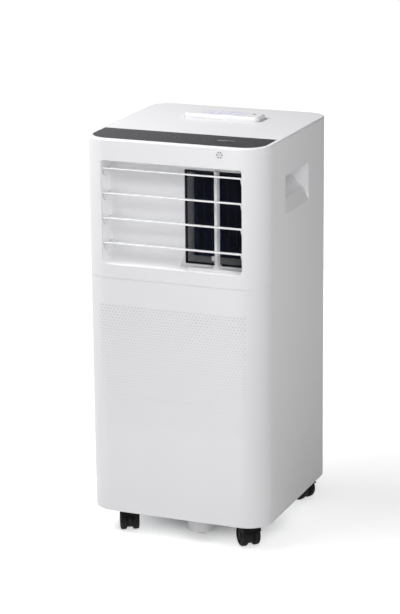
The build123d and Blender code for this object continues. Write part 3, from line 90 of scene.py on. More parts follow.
class Signal:
    """One output socket. Arithmetic on it adds Math nodes."""

    def __init__(self, finish, socket):
        self.finish = finish
        self.socket = socket

    def math(self, operation, *others):
        return self.finish.node("ShaderNodeMath", {"operation": operation}, [self, *others])

    def __add__(self, other):
        return self.math("ADD", other)

    def __mul__(self, other):
        return self.math("MULTIPLY", other)

    def __sub__(self, other):
        return self.math("SUBTRACT", other)

    def __rsub__(self, other):
        return self.finish.node("ShaderNodeMath", {"operation": "SUBTRACT"}, [other, self])

    __radd__ = __add__
    __rmul__ = __mul__


class Finish:
    """A material and its node tree, with a Principled BSDF ready to be fed."""

    def __init__(self, name, colour, roughness, metallic=0.0, coat=0.0, shine=0.5):
        self.material = bpy.data.materials.new(name)
        self.material.use_nodes = True
        self.material.diffuse_color = (*colour, 1)
        self.tree = self.material.node_tree
        self.surface = self.tree.nodes["Principled BSDF"]
        self.colour = colour
        constants = {"Base Color": (*colour, 1), "Roughness": roughness, "Metallic": metallic,
                     "Coat Weight": coat, "Coat Roughness": COAT_ROUGHNESS,
                     "Specular IOR Level": shine}
        for socket, value in constants.items():
            self.feed(self.surface.inputs[socket], value)

    def node(self, kind, settings=None, inputs=(), output=0):
        """Adds a node. Settings come first; inputs are values or signals, by order or by name."""
        added = self.tree.nodes.new(kind)
        for key, value in (settings or {}).items():
            setattr(added, key, value)
        pairs = inputs.items() if isinstance(inputs, dict) else enumerate(inputs)
        for key, value in pairs:
            self.feed(added.inputs[key], value)
        return Signal(self, added.outputs[output])

    def feed(self, socket, value):
        """Links a signal to a socket, or sets the socket to a plain value."""
        if isinstance(value, Signal):
            self.tree.links.new(value.socket, socket)
        else:
            socket.default_value = value

    def place(self):
        """The point on the object, in metres."""
        return self.node("ShaderNodeTexCoord", output="Object")

    def part_of(self, vector, axis):
        """One coordinate of a vector."""
        return self.node("ShaderNodeSeparateXYZ", inputs=[vector], output=axis)

    def noise(self, scale, detail=2.0, roughness=0.5, place=None):
        inputs = {"Vector": place or self.place(), "Scale": scale, "Detail": detail,
                  "Roughness": roughness}
        return self.node("ShaderNodeTexNoise", {"noise_dimensions": "3D"}, inputs)

    def wave(self, axis, pitch):
        """A sine of one coordinate, from -1 to 1, that repeats at every pitch."""
        return (self.part_of(self.place(), axis) * (2 * pi / pitch)).math("SINE")

    def mix(self, factor, low, high):
        """A colour between two colours."""
        inputs = {MIX_FACTOR: factor, MIX_LOW: (*low, 1), MIX_HIGH: (*high, 1)}
        return self.node("ShaderNodeMix", {"data_type": "RGBA"}, inputs, output=MIX_RESULT)

    def shade(self, factor, low, high):
        """Makes the base colour go from one colour to another."""
        self.feed(self.surface.inputs["Base Color"], self.mix(factor, low, high))

    def tinted(self, factor, shift):
        """The base colour, made darker or lighter by a share as the factor goes from 0 to 1."""
        low = [channel * (1 - shift) for channel in self.colour]
        high = [min(1.0, channel * (1 + shift)) for channel in self.colour]
        self.shade(factor, low, high)

    def rough(self, factor, low, high):
        self.feed(self.surface.inputs["Roughness"], factor * (high - low) + low)

    def bump(self, height, depth, strength=1.0):
        inputs = {"Height": height, "Distance": depth, "Strength": strength}
        self.feed(self.surface.inputs["Normal"], self.node("ShaderNodeBump", inputs=inputs))


print("helpers ready")

# %% [markdown]
# ## The white casing
# The shell is injection moulded in white ABS with a very fine spark-eroded grain, which spreads the
# highlights and hides fingerprints. A painted texture would blur close up and show at the joints,
# so noise in the object's own metres does the work. A slow cloud of it varies the roughness, as
# handling does, and a fine one gives the grain its bump. The colour barely moves: real mouldings
# are even, with a cool tint. The same recipe serves the slats, the remote, its keys and the spout.

# %% White moulding
MOULD_SHINE = 0.3
HANDLING_SCALE, HANDLING_DETAIL, HANDLING_TINT = 9.0, 3.0, 0.012
HANDLING_GLOSS, HANDLING_DULL = 0.05, 0.06  # how far the roughness goes down and up
GRAIN_SCALE, GRAIN_STRENGTH = 1500.0, 0.35


def moulded(name, colour, roughness, grain=0.00004, coat=0.0):
    """Plastic with an even colour, a fine grain and slow changes of gloss."""
    finish = Finish(name, colour, roughness, coat=coat, shine=MOULD_SHINE)
    slow = finish.noise(HANDLING_SCALE, detail=HANDLING_DETAIL)
    finish.tinted(slow, HANDLING_TINT)
    finish.rough(slow, roughness - HANDLING_GLOSS, roughness + HANDLING_DULL)
    finish.bump(finish.noise(GRAIN_SCALE), grain, GRAIN_STRENGTH)
    return finish.material


white_moulding = moulded("white_moulding", (0.86, 0.858, 0.874), 0.42)
# a lighter copy of the white moulding: painted light, chiefly to brighten the shaded louvre recess
inner_white_painted_light = moulded("inner_white_painted_light", (0.96, 0.96, 0.975), 0.5)
slat_white = moulded("slat_white", (0.88, 0.88, 0.89), 0.5)
remote_white = moulded("remote_white", (0.88, 0.88, 0.89), 0.34, grain=0.00002, coat=0.1)
keypad_white = moulded("keypad_white", (0.78, 0.78, 0.84), 0.55)
key_lavender = moulded("key_lavender", (0.68, 0.68, 0.77), 0.6)
spout_grey = moulded("spout_grey", (0.70, 0.70, 0.71), 0.45)
cavity_grey = moulded("cavity_grey", (0.55, 0.55, 0.57), 0.5)
# a greyer copy of the white: painted shade for the dimples' pits
pit_painted_shade = moulded("pit_painted_shade", (0.73, 0.73, 0.745), 0.6)
# a dark grey for painted shadow in the gaps of the recess combs
comb_gap_shadow = moulded("comb_gap_shadow", (0.22, 0.22, 0.235), 0.6)
print("pale finishes ready")

# %% [markdown]
# ## The control strip
# The strip is a smoked acrylic sheet: nearly black, glossy, with the faint smears of fingers. One
# dark colour would look like a hole in the casing. Here a painted fall of light runs from left to
# right: the colour is paler at the left, towards the lamps, and darker at the right. The smears
# stir both that colour and the gloss.

# %% Smoked strip
STRIP_SPAN = 0.16  # metres from the middle to each end
STRIP_LIT_LEFT, STRIP_SHADED_RIGHT = (0.088, 0.088, 0.096), (0.029, 0.029, 0.034)
STRIP_GLOSS, STRIP_DULL = 0.11, 0.19
SMEAR_SCALE, SMEAR_DETAIL, SMEAR_TURMOIL, SMEAR_SHARE = 26.0, 5.0, 0.62, 0.2
RIPPLE_SCALE, RIPPLE_DEPTH, RIPPLE_STRENGTH = 700.0, 0.00001, 0.2


def smoked_strip():
    finish = Finish("smoked_strip", (0.040, 0.040, 0.043), 0.30, shine=0.2)
    smear = finish.noise(SMEAR_SCALE, detail=SMEAR_DETAIL, roughness=SMEAR_TURMOIL)
    across = finish.node("ShaderNodeMapRange", inputs=[finish.part_of(finish.place(), "X"),
                                                       -STRIP_SPAN, STRIP_SPAN, 0.0, 1.0])
    # painted light: paler at the left and darker at the right, stirred by the smears
    finish.shade(across + (smear - 0.5) * SMEAR_SHARE, STRIP_LIT_LEFT, STRIP_SHADED_RIGHT)
    finish.rough(smear, STRIP_GLOSS, STRIP_DULL)
    finish.bump(finish.noise(RIPPLE_SCALE), RIPPLE_DEPTH, RIPPLE_STRENGTH)
    return finish.material


strip_finish = smoked_strip()
print("strip shades:", STRIP_LIT_LEFT[0], "to", STRIP_SHADED_RIGHT[0])

# %% [markdown]
# ## Dark plastics and rubber
# The castors are black nylon with a satin grain, and their treads are a little duller. The guard
# and the vanes behind the slats are dark too, the vanes and the blower blue. Black plastic seldom
# looks even, because dust and wear show on it, so it gets wider patches of tint and gloss than the
# white does. One recipe with a colour, a roughness and a grain of its own covers them all.

# %% Dark plastics
PATCH_SCALE, PATCH_DETAIL, PATCH_TURMOIL, PATCH_TINT = 60.0, 4.0, 0.6, 0.18
PATCH_GLOSS, PATCH_DULL = 0.08, 0.10  # how far the roughness goes down and up
SATIN_SCALE, SATIN_DETAIL, SATIN_STRENGTH = 1100.0, 3.0, 0.5


def dark_plastic(name, colour, roughness, grain, shine=0.3):
    """Plastic or rubber with patches of tint and gloss under a satin grain."""
    finish = Finish(name, colour, roughness, shine=shine)
    patches = finish.noise(PATCH_SCALE, detail=PATCH_DETAIL, roughness=PATCH_TURMOIL)
    finish.tinted(patches, PATCH_TINT)
    finish.rough(patches, roughness - PATCH_GLOSS, roughness + PATCH_DULL)
    finish.bump(finish.noise(SATIN_SCALE, detail=SATIN_DETAIL), grain, SATIN_STRENGTH)
    return finish.material


castor_black = dark_plastic("castor_black", (0.005, 0.005, 0.0056), 0.52, 0.00008, shine=0.2)
tread_black = dark_plastic("tread_black", (0.007, 0.007, 0.0074), 0.62, 0.00012, shine=0.2)
guard_black = dark_plastic("guard_black", (0.006, 0.007, 0.010), 0.50, 0.00005, shine=0.15)
vane_navy = dark_plastic("vane_navy", (0.008, 0.034, 0.16), 0.42, 0.00004, shine=0.2)
blower_navy = dark_plastic("blower_navy", (0.022, 0.034, 0.075), 0.45, 0.00005, shine=0.2)
# black plastic for the remote's lamp window, and painted shadow in the sensor's holes
smoked_black_and_hole_shadow = dark_plastic("smoked_black_and_hole_shadow", (0.006, 0.006, 0.007), 0.6, 0.00003, shine=0.1)
print_grey = dark_plastic("print_grey", (0.105, 0.105, 0.115), 0.30, 0.00001)
display_smoke = dark_plastic("display_smoke", (0.026, 0.026, 0.030), 0.18, 0.00001, shine=0.2)
soft_rubber = dark_plastic("soft_rubber", (0.020, 0.020, 0.021), 0.70, 0.0001)
shell_black = dark_plastic("shell_black", (0.012, 0.012, 0.013), 0.30, 0.00006)
print("dark finishes ready")

# %% [markdown]
# ## Zinc-coated sheet
# The base pan and the electrical box are folded from zinc-coated steel, whose coat shows large pale
# crystals. A picture of them would repeat; a Voronoi texture has cells of every shape, each with a
# value of its own, which sets the shade and the gloss of one crystal.

# %% Zinc finish
CRYSTAL_SCALE, CRYSTAL_TINT = 75.0, 0.10
CRYSTAL_GLOSS, CRYSTAL_DULL = 0.34, 0.52


def zinc_sheet():
    finish = Finish("zinc_sheet", (0.56, 0.57, 0.58), 0.42, metallic=0.9)
    crystals = finish.node("ShaderNodeTexVoronoi", {"feature": "F1"},
                           {"Vector": finish.place(), "Scale": CRYSTAL_SCALE}, output="Color")
    crystal = finish.part_of(crystals, "X")
    finish.tinted(crystal, CRYSTAL_TINT)
    finish.rough(crystal, CRYSTAL_GLOSS, CRYSTAL_DULL)
    return finish.material


zinc = zinc_sheet()
print("zinc crystals to a metre:", CRYSTAL_SCALE)

# %% [markdown]
# ## Rolled steel
# Motor cans and screws are steel with fine lines along one way, from the rolls and the lathe.
# Drawing lines one by one would be endless; noise that is squeezed across and left long upright
# gives them, uneven as they really are.

# %% Steel finishes
ROLL_STRETCH, ROLL_DETAIL, ROLL_TINT = (900, 900, 40), 3.0, 0.12
ROLL_GLOSS, ROLL_DULL = 0.08, 0.10  # how far the roughness goes down and up
ROLL_DEPTH, ROLL_STRENGTH = 0.00003, 0.4


def rolled_steel(name, colour, roughness):
    finish = Finish(name, colour, roughness, metallic=1.0)
    stretched = finish.node("ShaderNodeMapping",
                            inputs={"Vector": finish.place(), "Scale": ROLL_STRETCH})
    lines = finish.noise(1.0, detail=ROLL_DETAIL, place=stretched)
    finish.tinted(lines, ROLL_TINT)
    finish.rough(lines, roughness - ROLL_GLOSS, roughness + ROLL_DULL)
    finish.bump(lines, ROLL_DEPTH, ROLL_STRENGTH)
    return finish.material


steel = rolled_steel("rolled_steel", (0.50, 0.50, 0.52), 0.34)
screw_zinc = rolled_steel("screw_zinc", (0.62, 0.62, 0.64), 0.28)
print("steel finishes ready")

# %% [markdown]
# ## Coils of aluminium fins
# A coil is a pack of thin upright fins, about 1.6 mm apart, on rows of tubes. Hundreds of real fins
# would be heavy and would shimmer from afar, so a sine of one coordinate makes both their bump and
# a painted shadow in the gaps between them. A second sine, sharpened by a power, darkens a narrow
# band where each tube passes.

# %% Fin finish
FIN_PITCH, FIN_DEPTH, FIN_STRENGTH = 0.0016, 0.0006, 0.7
FIN_GAP_SHADE, FIN_PALE = (0.10, 0.105, 0.115), (0.66, 0.68, 0.71)
TUBE_PITCH, TUBE_SHARPNESS, TUBE_SHADE = 0.025, 12.0, 0.25


def fin_pack():
    finish = Finish("fin_pack", (0.60, 0.62, 0.65), 0.38, metallic=0.85)
    fin = finish.wave("X", FIN_PITCH) * 0.5 + 0.5
    tubes = (finish.wave("Z", TUBE_PITCH) * 0.5 + 0.5).math("POWER", TUBE_SHARPNESS) * TUBE_SHADE
    # painted shadow: dark in the gaps between fins, pale on the fins
    finish.shade(fin - tubes, FIN_GAP_SHADE, FIN_PALE)
    finish.bump(fin, FIN_DEPTH, FIN_STRENGTH)
    return finish.material


fins = fin_pack()
print("fin pitch, mm:", FIN_PITCH * 1000)

# %% [markdown]
# ## Drawn copper
# The pipes are soft copper that has been bent and brazed, so it is bright in places and brown in
# others. A two-colour gradient would run one way; noise raised to a power keeps most of the pipe
# bright, with brown stains that are also duller.

# %% Copper finish
STAIN_SCALE, STAIN_DETAIL, STAIN_TURMOIL, STAIN_SHARPNESS = 45.0, 5.0, 0.6, 2.0
COPPER_BRIGHT, COPPER_BROWN = (0.80, 0.38, 0.24), (0.36, 0.15, 0.09)
COPPER_GLOSS, COPPER_DULL = 0.22, 0.45


def drawn_copper():
    finish = Finish("drawn_copper", (0.78, 0.36, 0.22), 0.30, metallic=1.0)
    stain = finish.noise(STAIN_SCALE, detail=STAIN_DETAIL, roughness=STAIN_TURMOIL)
    finish.shade(stain.math("POWER", STAIN_SHARPNESS), COPPER_BRIGHT, COPPER_BROWN)
    finish.rough(stain, COPPER_GLOSS, COPPER_DULL)
    return finish.material


copper = drawn_copper()
print("copper ready")

# %% [markdown]
# ## The circuit boards
# A circuit board is green lacquer over copper tracks, so a fine grid of slightly lighter lines runs
# under its gloss. A plain grid looks like cloth; a brick texture gives lines that break and shift,
# as tracks do, and a clear coat on top gives the lacquer.

# %% Board finish
LACQUER_GREEN, TRACK_GREEN = (0.015, 0.11, 0.045), (0.06, 0.22, 0.09)
TRACK_SCALE, TRACK_WIDTH = 160.0, 0.06


def green_board():
    finish = Finish("green_board", LACQUER_GREEN, 0.32, coat=0.3)
    tracks = finish.node("ShaderNodeTexBrick", output="Fac", inputs={
        "Vector": finish.place(), "Scale": TRACK_SCALE, "Mortar Size": TRACK_WIDTH})
    finish.shade(tracks, LACQUER_GREEN, TRACK_GREEN)
    return finish.material


board = green_board()
print("board ready")

# %% [markdown]
# ## The filter's screen
# The filter behind the rear grille is a woven screen of dark nylon, too fine to be modelled thread
# by thread. Two crossed sines, multiplied, cut its weave into light and dark squares, and the same
# value lifts the threads.

# %% Screen finish
THREAD_PITCH, THREAD_DEPTH, THREAD_STRENGTH = 0.0014, 0.0003, 0.8
THREAD_DARK, THREAD_PALE = (0.035, 0.04, 0.05), (0.17, 0.19, 0.22)


def woven_screen():
    finish = Finish("woven_screen", (0.10, 0.115, 0.14), 0.75)
    weave = (finish.wave("X", THREAD_PITCH) * finish.wave("Z", THREAD_PITCH)) * 0.5 + 0.5
    finish.shade(weave, THREAD_DARK, THREAD_PALE)
    finish.bump(weave, THREAD_DEPTH, THREAD_STRENGTH)
    return finish.material


screen = woven_screen()
print("thread pitch, mm:", THREAD_PITCH * 1000)

# %% [markdown]
# ## Finishes on the CAD nodes
# Each node keeps its mesh and its place, and only its material is changed. One table from finish to
# nodes shows at a glance what is made of what, and the last line tells if a node was forgotten.

# %% Assign finishes
CORNERS = ("front_left", "front_right", "rear_left", "rear_right")
finish_of = {
    white_moulding: ["front_panel_upper", "front_panel_lower", "side_panel_left",
                     "side_panel_right", "rear_panel", "top_cover", "upper_grille",
                     "lower_grille", "exhaust_collar"],
    inner_white_painted_light: ["louvre_frame", "tray_plug"],
    slat_white: ["slat_rib", "slat_1", "slat_2", "slat_3", "slat_4"],
    spout_grey: ["drain_spout"],
    remote_white: ["remote_case", "remote_back"],
    keypad_white: ["remote_keypad"],
    strip_finish: ["control_strip"],
    guard_black: ["safety_mesh"],
    vane_navy: ["guide_vanes"],
    cavity_grey: ["slat_link", "swing_crank", "lower_scroll", "drain_tray", "lower_wheel",
                  "splash_wheel", "room_sensor"],
    blower_navy: ["upper_scroll", "upper_wheel"],
    castor_black: [f"castor_fork_{corner}" for corner in CORNERS],
    tread_black: [f"castor_wheels_{corner}" for corner in CORNERS],
    soft_rubber: ["compressor_grommets", "cord_gland", "drain_cap"],
    zinc: ["base_pan", "electrical_box"],
    steel: ["swing_motor", "upper_motor", "lower_motor", "splash_motor", "run_capacitor"],
    screw_zinc: ["grille_screws"],
    shell_black: ["compressor", "accumulator"],
    fins: ["evaporator", "condenser"],
    copper: ["refrigerant_pipes"],
    board: ["main_board", "display_board"],
    screen: ["upper_filter"],
}
for material, members in finish_of.items():
    for name in members:
        nodes[name].data.materials.clear()
        nodes[name].data.materials.append(material)
dressed = [name for members in finish_of.values() for name in members]
print("undressed nodes:", sorted(set(nodes) - set(dressed)))

# %% [markdown]
# ## Modelling helpers
# An operator acts on what is selected, so each piece starts from an empty selection. In edit mode,
# vertices, edges and faces are picked by a test on their place or their normal, which still finds
# them when an earlier step changes and their numbers move. A finished piece is fixed to its body.

# %% Modelling helpers
SMOOTH_ANGLE = 30  # degrees between faces, above which an edge stays sharp
INWARDS, OUTWARDS = -1.0, 1.0  # which way a Solidify wall grows from its sheet


def clear_selection():
    if bpy.context.mode != "OBJECT":
        bpy.ops.object.mode_set(mode="OBJECT")
    bpy.ops.object.select_all(action="DESELECT")


def select_only(piece):
    clear_selection()
    piece.select_set(True)
    bpy.context.view_layer.objects.active = piece


def newest(name):
    """Names the object that the last operator made."""
    piece = bpy.context.active_object
    piece.name = name
    piece.data.name = name
    return piece


def pick(piece, kind, test):
    """Selects the vertices, edges or faces that pass a test, in edit mode, and counts them."""
    bpy.ops.mesh.select_mode(type=kind)
    bpy.ops.mesh.select_all(action="DESELECT")
    shape = bmesh.from_edit_mesh(piece.data)
    elements = {"VERT": shape.verts, "EDGE": shape.edges, "FACE": shape.faces}[kind]
    chosen = [element for element in elements if test(element)]
    for element in chosen:
        element.select_set(True)
    shape.select_flush_mode()
    bmesh.update_edit_mesh(piece.data)
    return len(chosen)


def modify(piece, kind, **settings):
    """Adds a modifier and applies it."""
    modifier = piece.modifiers.new(kind.lower(), kind)
    for key, value in settings.items():
        setattr(modifier, key, value)
    select_only(piece)
    bpy.ops.object.modifier_apply(modifier=modifier.name)


def settle(piece, body, material):
    """Puts a piece's place in its mesh, smooths it and fixes it to its body."""
    select_only(piece)
    bpy.ops.object.transform_apply(location=True, rotation=True, scale=True)
    bpy.ops.object.shade_smooth_by_angle(angle=radians(SMOOTH_ANGLE))
    if not piece.data.materials:
        piece.data.materials.append(material)
    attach(piece, body)
    piece.select_set(False)


print("modelling helpers ready")

# %% [markdown]
# ## The plan of the casing's front
# The lower front panel is one sheet that runs across the front, round both corners and a little way
# back. It carries a field of dimples, and those are far easier to make on a flat sheet. So the
# sheet is drawn flat and then wrapped: the distance along it, its depth and its height become a
# point on the straight front, on a corner's arc or on a side.

# %% Casing plan
panel_low, panel_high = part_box("front_panel_lower")
upper_panel_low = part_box("front_panel_upper")[0]
HALF_WIDTH = panel_high.x
FRONT_Y = panel_low.y
CORNER_R = 0.045
EDGE_R = 0.002
WALL = 0.0025
CORNER_X = HALF_WIDTH - CORNER_R
ARC = CORNER_R * pi / 2
SHEET_HALF = CORNER_X + ARC + panel_high.y - FRONT_Y - CORNER_R
SHEET_LOW = panel_low.z
SEAM_GAP = 0.0008
SHEET_HIGH = upper_panel_low.z - SEAM_GAP


def wrapped(along, depth, height):
    """A point of the flat sheet, carried round the front: depth is measured inwards."""
    side = 1 if along >= 0 else -1
    past = abs(along) - CORNER_X
    if past <= 0:
        return Vector((along, FRONT_Y + depth, height))
    if past <= ARC:
        angle = past / CORNER_R
        reach = CORNER_R - depth
        return Vector((side * (CORNER_X + reach * sin(angle)),
                       FRONT_Y + CORNER_R - reach * cos(angle), height))
    return Vector((side * (HALF_WIDTH - depth), FRONT_Y + CORNER_R + past - ARC, height))


print("sheet half width:", round(SHEET_HALF, 4), "height:", round(SHEET_HIGH - SHEET_LOW, 4))

# %% [markdown]
# ## The flat sheet
# A grid primitive gives even squares, but the sheet needs its columns and rows in chosen places.
# Loops could be added one by one; it is quicker to make a grid with the right number of each, and
# then to move every vertex to its own column and row. The faces stay four-sided and tidy.

# %% Sheet helpers
def steps(low, high, count):
    """Evenly spaced values from low to high, both included."""
    return [low + (high - low) * index / count for index in range(count + 1)]


def front_sheet(name, columns, rows):
    """A flat grid with its columns and rows at the given places, facing the front."""
    clear_selection()
    bpy.ops.mesh.primitive_grid_add(x_subdivisions=len(columns) - 1,
                                    y_subdivisions=len(rows) - 1, size=1,
                                    rotation=(pi / 2, 0, 0))
    piece = newest(name)
    bpy.ops.object.transform_apply(rotation=True)
    for vertex in piece.data.vertices:
        column = round((vertex.co.x + 0.5) * (len(columns) - 1))
        row = round((vertex.co.z + 0.5) * (len(rows) - 1))
        vertex.co = (columns[column], 0, rows[row])
    return piece


def wrap(piece, inset=0.0):
    """Carries the flat sheet round the corners. Without an inset, its lower edge is rounded."""
    for vertex in piece.data.vertices:
        below = EDGE_R - (vertex.co.z - SHEET_LOW)
        rounding = 0.0
        if below > 0 and not inset:
            rounding = EDGE_R - sqrt(max(0.0, EDGE_R**2 - below**2))
        vertex.co = wrapped(vertex.co.x, vertex.co.y + rounding + inset, vertex.co.z)


print("sheet helpers ready")

# %% [markdown]
# ## The grid of the lower front
# The dimples stand in rows, and every second row is shifted by half a pitch. A column at every half
# pitch and a row at every row of dimples put a vertex at each dimple's place. A few wide columns
# fill the way round the corners, and some close rows round the lower edge.

# %% Grid
DOT_PITCH, DOT_ROW = 0.0060, 0.0052
DOT_LEFT, DOT_RIGHT = -0.133, 0.130
DOT_LOW, DOT_HIGH = 0.210, 0.417
PLAIN_COLUMNS, EDGE_ROWS = 10, 4
PLAIN_BELOW, PLAIN_ABOVE = 0.12, 0.44  # heights of the rows under and over the field
dot_columns = round((DOT_RIGHT - DOT_LEFT) / (DOT_PITCH / 2))
dot_rows = round((DOT_HIGH - DOT_LOW) / DOT_ROW)
field_columns = steps(DOT_LEFT, DOT_RIGHT, dot_columns)
field_rows = steps(DOT_LOW, DOT_HIGH, dot_rows)
columns = (steps(-SHEET_HALF, DOT_LEFT, PLAIN_COLUMNS)[:-1] + field_columns
           + steps(DOT_RIGHT, SHEET_HALF, PLAIN_COLUMNS)[1:])
rounded_rows = [SHEET_LOW + EDGE_R * (1 - cos(angle)) for angle in steps(0, pi / 2, EDGE_ROWS)]
rows = rounded_rows + [PLAIN_BELOW] + field_rows + [PLAIN_ABOVE, SHEET_HIGH]
front = front_sheet("dimpled_front", columns, rows)
print("grid:", len(columns), "by", len(rows), "dimple rows:", dot_rows)

# %% [markdown]
# ## The dimples
# The panel's small round dimples get smaller and shallower towards the floor. A bump in the
# material would not be in the mesh, and cutting with hundreds of small tools is slow and leaves
# ragged faces. Bevelling the vertices at their places opens an eight-sided patch at each, and two
# insets push each patch inwards. The pits get a slightly greyer white: painted shade in the
# hollows. The sheet is then wrapped and given its wall.

# %% Dimples
DOT_R_TOP, DOT_R_LOW = 0.0015, 0.0005
DOT_DEEP_TOP, DOT_DEEP_LOW = 0.42, 0.10  # depth of each inset, as a share of the radius
DOT_INSETS, INSET_SHARE = 2, 0.3  # each inset goes in by this share of the radius
PIT_FROM = 0.00002  # depth at which a face belongs to a pit
ROUND_PROFILE = (1 - sqrt(0.5)) ** 2  # makes the bevelled corners lie on a circle
ON_ROW, ON_DOT = 1e-5, 0.02  # how near a dimple's vertex is, in metres and as a share of a pitch
DOT_SEGMENTS = 2


def dot_band(row):
    """A test for the dimples of one row of the staggered field."""
    height = field_rows[row]
    first = field_columns[row % 2]
    spacing = 2 * (DOT_RIGHT - DOT_LEFT) / dot_columns

    def test(vertex):
        in_field = DOT_LEFT - ON_ROW < vertex.co.x < DOT_RIGHT + ON_ROW
        if abs(vertex.co.z - height) > ON_ROW or not in_field:
            return False
        place = (vertex.co.x - first) / spacing
        return abs(place - round(place)) < ON_DOT
    return test


bpy.context.view_layer.objects.active = front
bpy.ops.object.mode_set(mode="EDIT")
dots = 0
for row in range(dot_rows + 1):
    radius = DOT_R_LOW + (DOT_R_TOP - DOT_R_LOW) * row / dot_rows
    deep = DOT_DEEP_LOW + (DOT_DEEP_TOP - DOT_DEEP_LOW) * row / dot_rows
    dots += pick(front, "VERT", dot_band(row))
    bpy.ops.mesh.bevel(affect="VERTICES", offset=radius, segments=DOT_SEGMENTS,
                       profile=ROUND_PROFILE)
    for _ in range(DOT_INSETS):
        bpy.ops.mesh.inset(thickness=radius * INSET_SHARE, depth=-radius * deep,
                           use_boundary=True)
bpy.ops.object.mode_set(mode="OBJECT")
# the second material is painted shade in the dimples' pits
for finish in (white_moulding, pit_painted_shade):
    front.data.materials.append(finish)
for face in front.data.polygons:
    deepest = max(front.data.vertices[index].co.y for index in face.vertices)
    face.material_index = 1 if deepest > PIT_FROM else 0
wrap(front)
modify(front, "SOLIDIFY", thickness=WALL, offset=INWARDS)
settle(front, "cabinet", white_moulding)
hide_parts("front_panel_lower")
print("dimples:", dots, "triangles:", sum(len(face.vertices) - 2 for face in front.data.polygons))

# %% [markdown]
# ## The tongue in the seam
# The two front panels meet at a thin line. On the real shell a moulded tongue of the lower panel
# fills the gap between them to just under the surface, so the line is a faint groove and no light
# comes out of the casing. It could be drawn as a dark line, but a real step catches the light from
# any side. The same sheet is used again, only two rows high and set a little deeper.

# %% Seam tongue
TONGUE_INSET, TONGUE_T = 0.0008, 0.0015
TONGUE_PLAY = 0.00008
TONGUE_COLUMNS = 60
tongue_half = SHEET_HALF - WALL
tongue = front_sheet("seam_tongue", steps(-tongue_half, tongue_half, TONGUE_COLUMNS),
                     [SHEET_HIGH - TONGUE_PLAY, SHEET_HIGH + SEAM_GAP - TONGUE_PLAY])
wrap(tongue, TONGUE_INSET)
modify(tongue, "SOLIDIFY", thickness=TONGUE_T, offset=INWARDS)
settle(tongue, "cabinet", white_moulding)
print("seam tongue, mm deep:", TONGUE_INSET * 1000)

# %% [markdown]
# ## Blocks with rounded edges
# Small moulded parts, such as keys, caps and ribs, are blocks whose edges catch the light because
# they are rounded. A cube is sized to its two corners and all its edges are bevelled; a dish in its
# top, made by two insets, is where a fingertip rests. Such a part is modelled once. Its copies have
# meshes of their own and are joined with it, so that a set of keys is one piece.

# %% Block helpers
EDGE_SEGMENTS, EDGE_PROFILE = 3, 0.5
FACING = 0.99  # how far a unit normal goes along an axis when its face looks that way


def rounded_block(name, low, high, radius, dish=0.0):
    """A block between two corners with rounded edges, and a shallow dish in its top if asked."""
    clear_selection()
    low, high = Vector(low), Vector(high)
    bpy.ops.mesh.primitive_cube_add(size=1, location=(low + high) / 2, scale=high - low)
    piece = newest(name)
    bpy.ops.object.transform_apply(location=True, rotation=True, scale=True)
    bpy.ops.object.mode_set(mode="EDIT")
    pick(piece, "EDGE", lambda edge: True)
    bpy.ops.mesh.bevel(offset=radius, segments=EDGE_SEGMENTS, profile=EDGE_PROFILE,
                       affect="EDGES")
    if dish:
        pick(piece, "FACE", lambda face: face.normal.z > FACING)
        bpy.ops.mesh.inset(thickness=radius)
        bpy.ops.mesh.inset(thickness=radius, depth=-dish)
    bpy.ops.object.mode_set(mode="OBJECT")
    return piece


def copied(piece, moves):
    """Copies a piece to each move, every copy with a mesh of its own, and joins them with it."""
    copies = [piece]
    for move in moves:
        select_only(piece)
        bpy.ops.object.duplicate(linked=False)
        bpy.ops.transform.translate(value=move)
        copies.append(bpy.context.active_object)
    clear_selection()
    for copy in copies:
        copy.select_set(True)
    bpy.context.view_layer.objects.active = piece
    bpy.ops.object.join()


print("block helpers ready")

# %% [markdown]
# ## The remote's keys
# The remote lies in a tray in the top. Its keypad is a soft membrane with low keys in rows, each a
# pad with rounded edges and a slightly hollow top. One flat pad with a drawn pattern would lose the
# small highlights between the keys, so each key is a block of its own, sunk a little into the
# membrane so that no gap shows under it.

# %% Keys
KEY_RISE, KEY_SINK = 0.0007, 0.0002
KEY_SIZE, KEY_PITCH, KEY_MARGIN = (0.0130, 0.0062), (0.0170, 0.0094), (0.005, 0.0028)
KEY_COLUMNS, KEY_ROWS = 4, 3
KEY_DISH = 0.0002
KEY_ROUNDING = 0.45  # radius of the edges, as a share of the rise
pad_low, pad_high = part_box("remote_keypad")
key_low = Vector((pad_low.x + KEY_MARGIN[0], pad_low.y + KEY_MARGIN[1], pad_high.z - KEY_SINK))
key_high = key_low + Vector((*KEY_SIZE, KEY_SINK + KEY_RISE))
keys = rounded_block("remote_keys", key_low, key_high, KEY_RISE * KEY_ROUNDING, dish=KEY_DISH)
copied(keys, [(KEY_PITCH[0] * column, KEY_PITCH[1] * row, 0)
              for row in range(KEY_ROWS) for column in range(KEY_COLUMNS) if row or column])
settle(keys, "remote", key_lavender)
print("remote keys:", KEY_ROWS * KEY_COLUMNS)

# %% [markdown]
# ## The remote's lamp window
# A small dark window near one end of the remote covers its infra-red lamp. It is a bead of smoked
# plastic that stands a fraction of a millimetre out of the case. A flat dark patch would miss the
# glint on its edge, so it is a rounded block too.

# %% Lamp window
LAMP_AT, LAMP_SINK = (0.0546, 0.0731), 0.0003
LAMP_SIZE, LAMP_ROUNDING = Vector((0.0060, 0.0030, 0.0006)), 0.00025
case_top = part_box("remote_case")[1].z
lamp_low = Vector((*LAMP_AT, case_top - LAMP_SINK))
lamp_window = rounded_block("remote_lamp_window", lamp_low, lamp_low + LAMP_SIZE, LAMP_ROUNDING)
settle(lamp_window, "remote", smoked_black_and_hole_shadow)
print("lamp window at", [round(value, 4) for value in lamp_low])

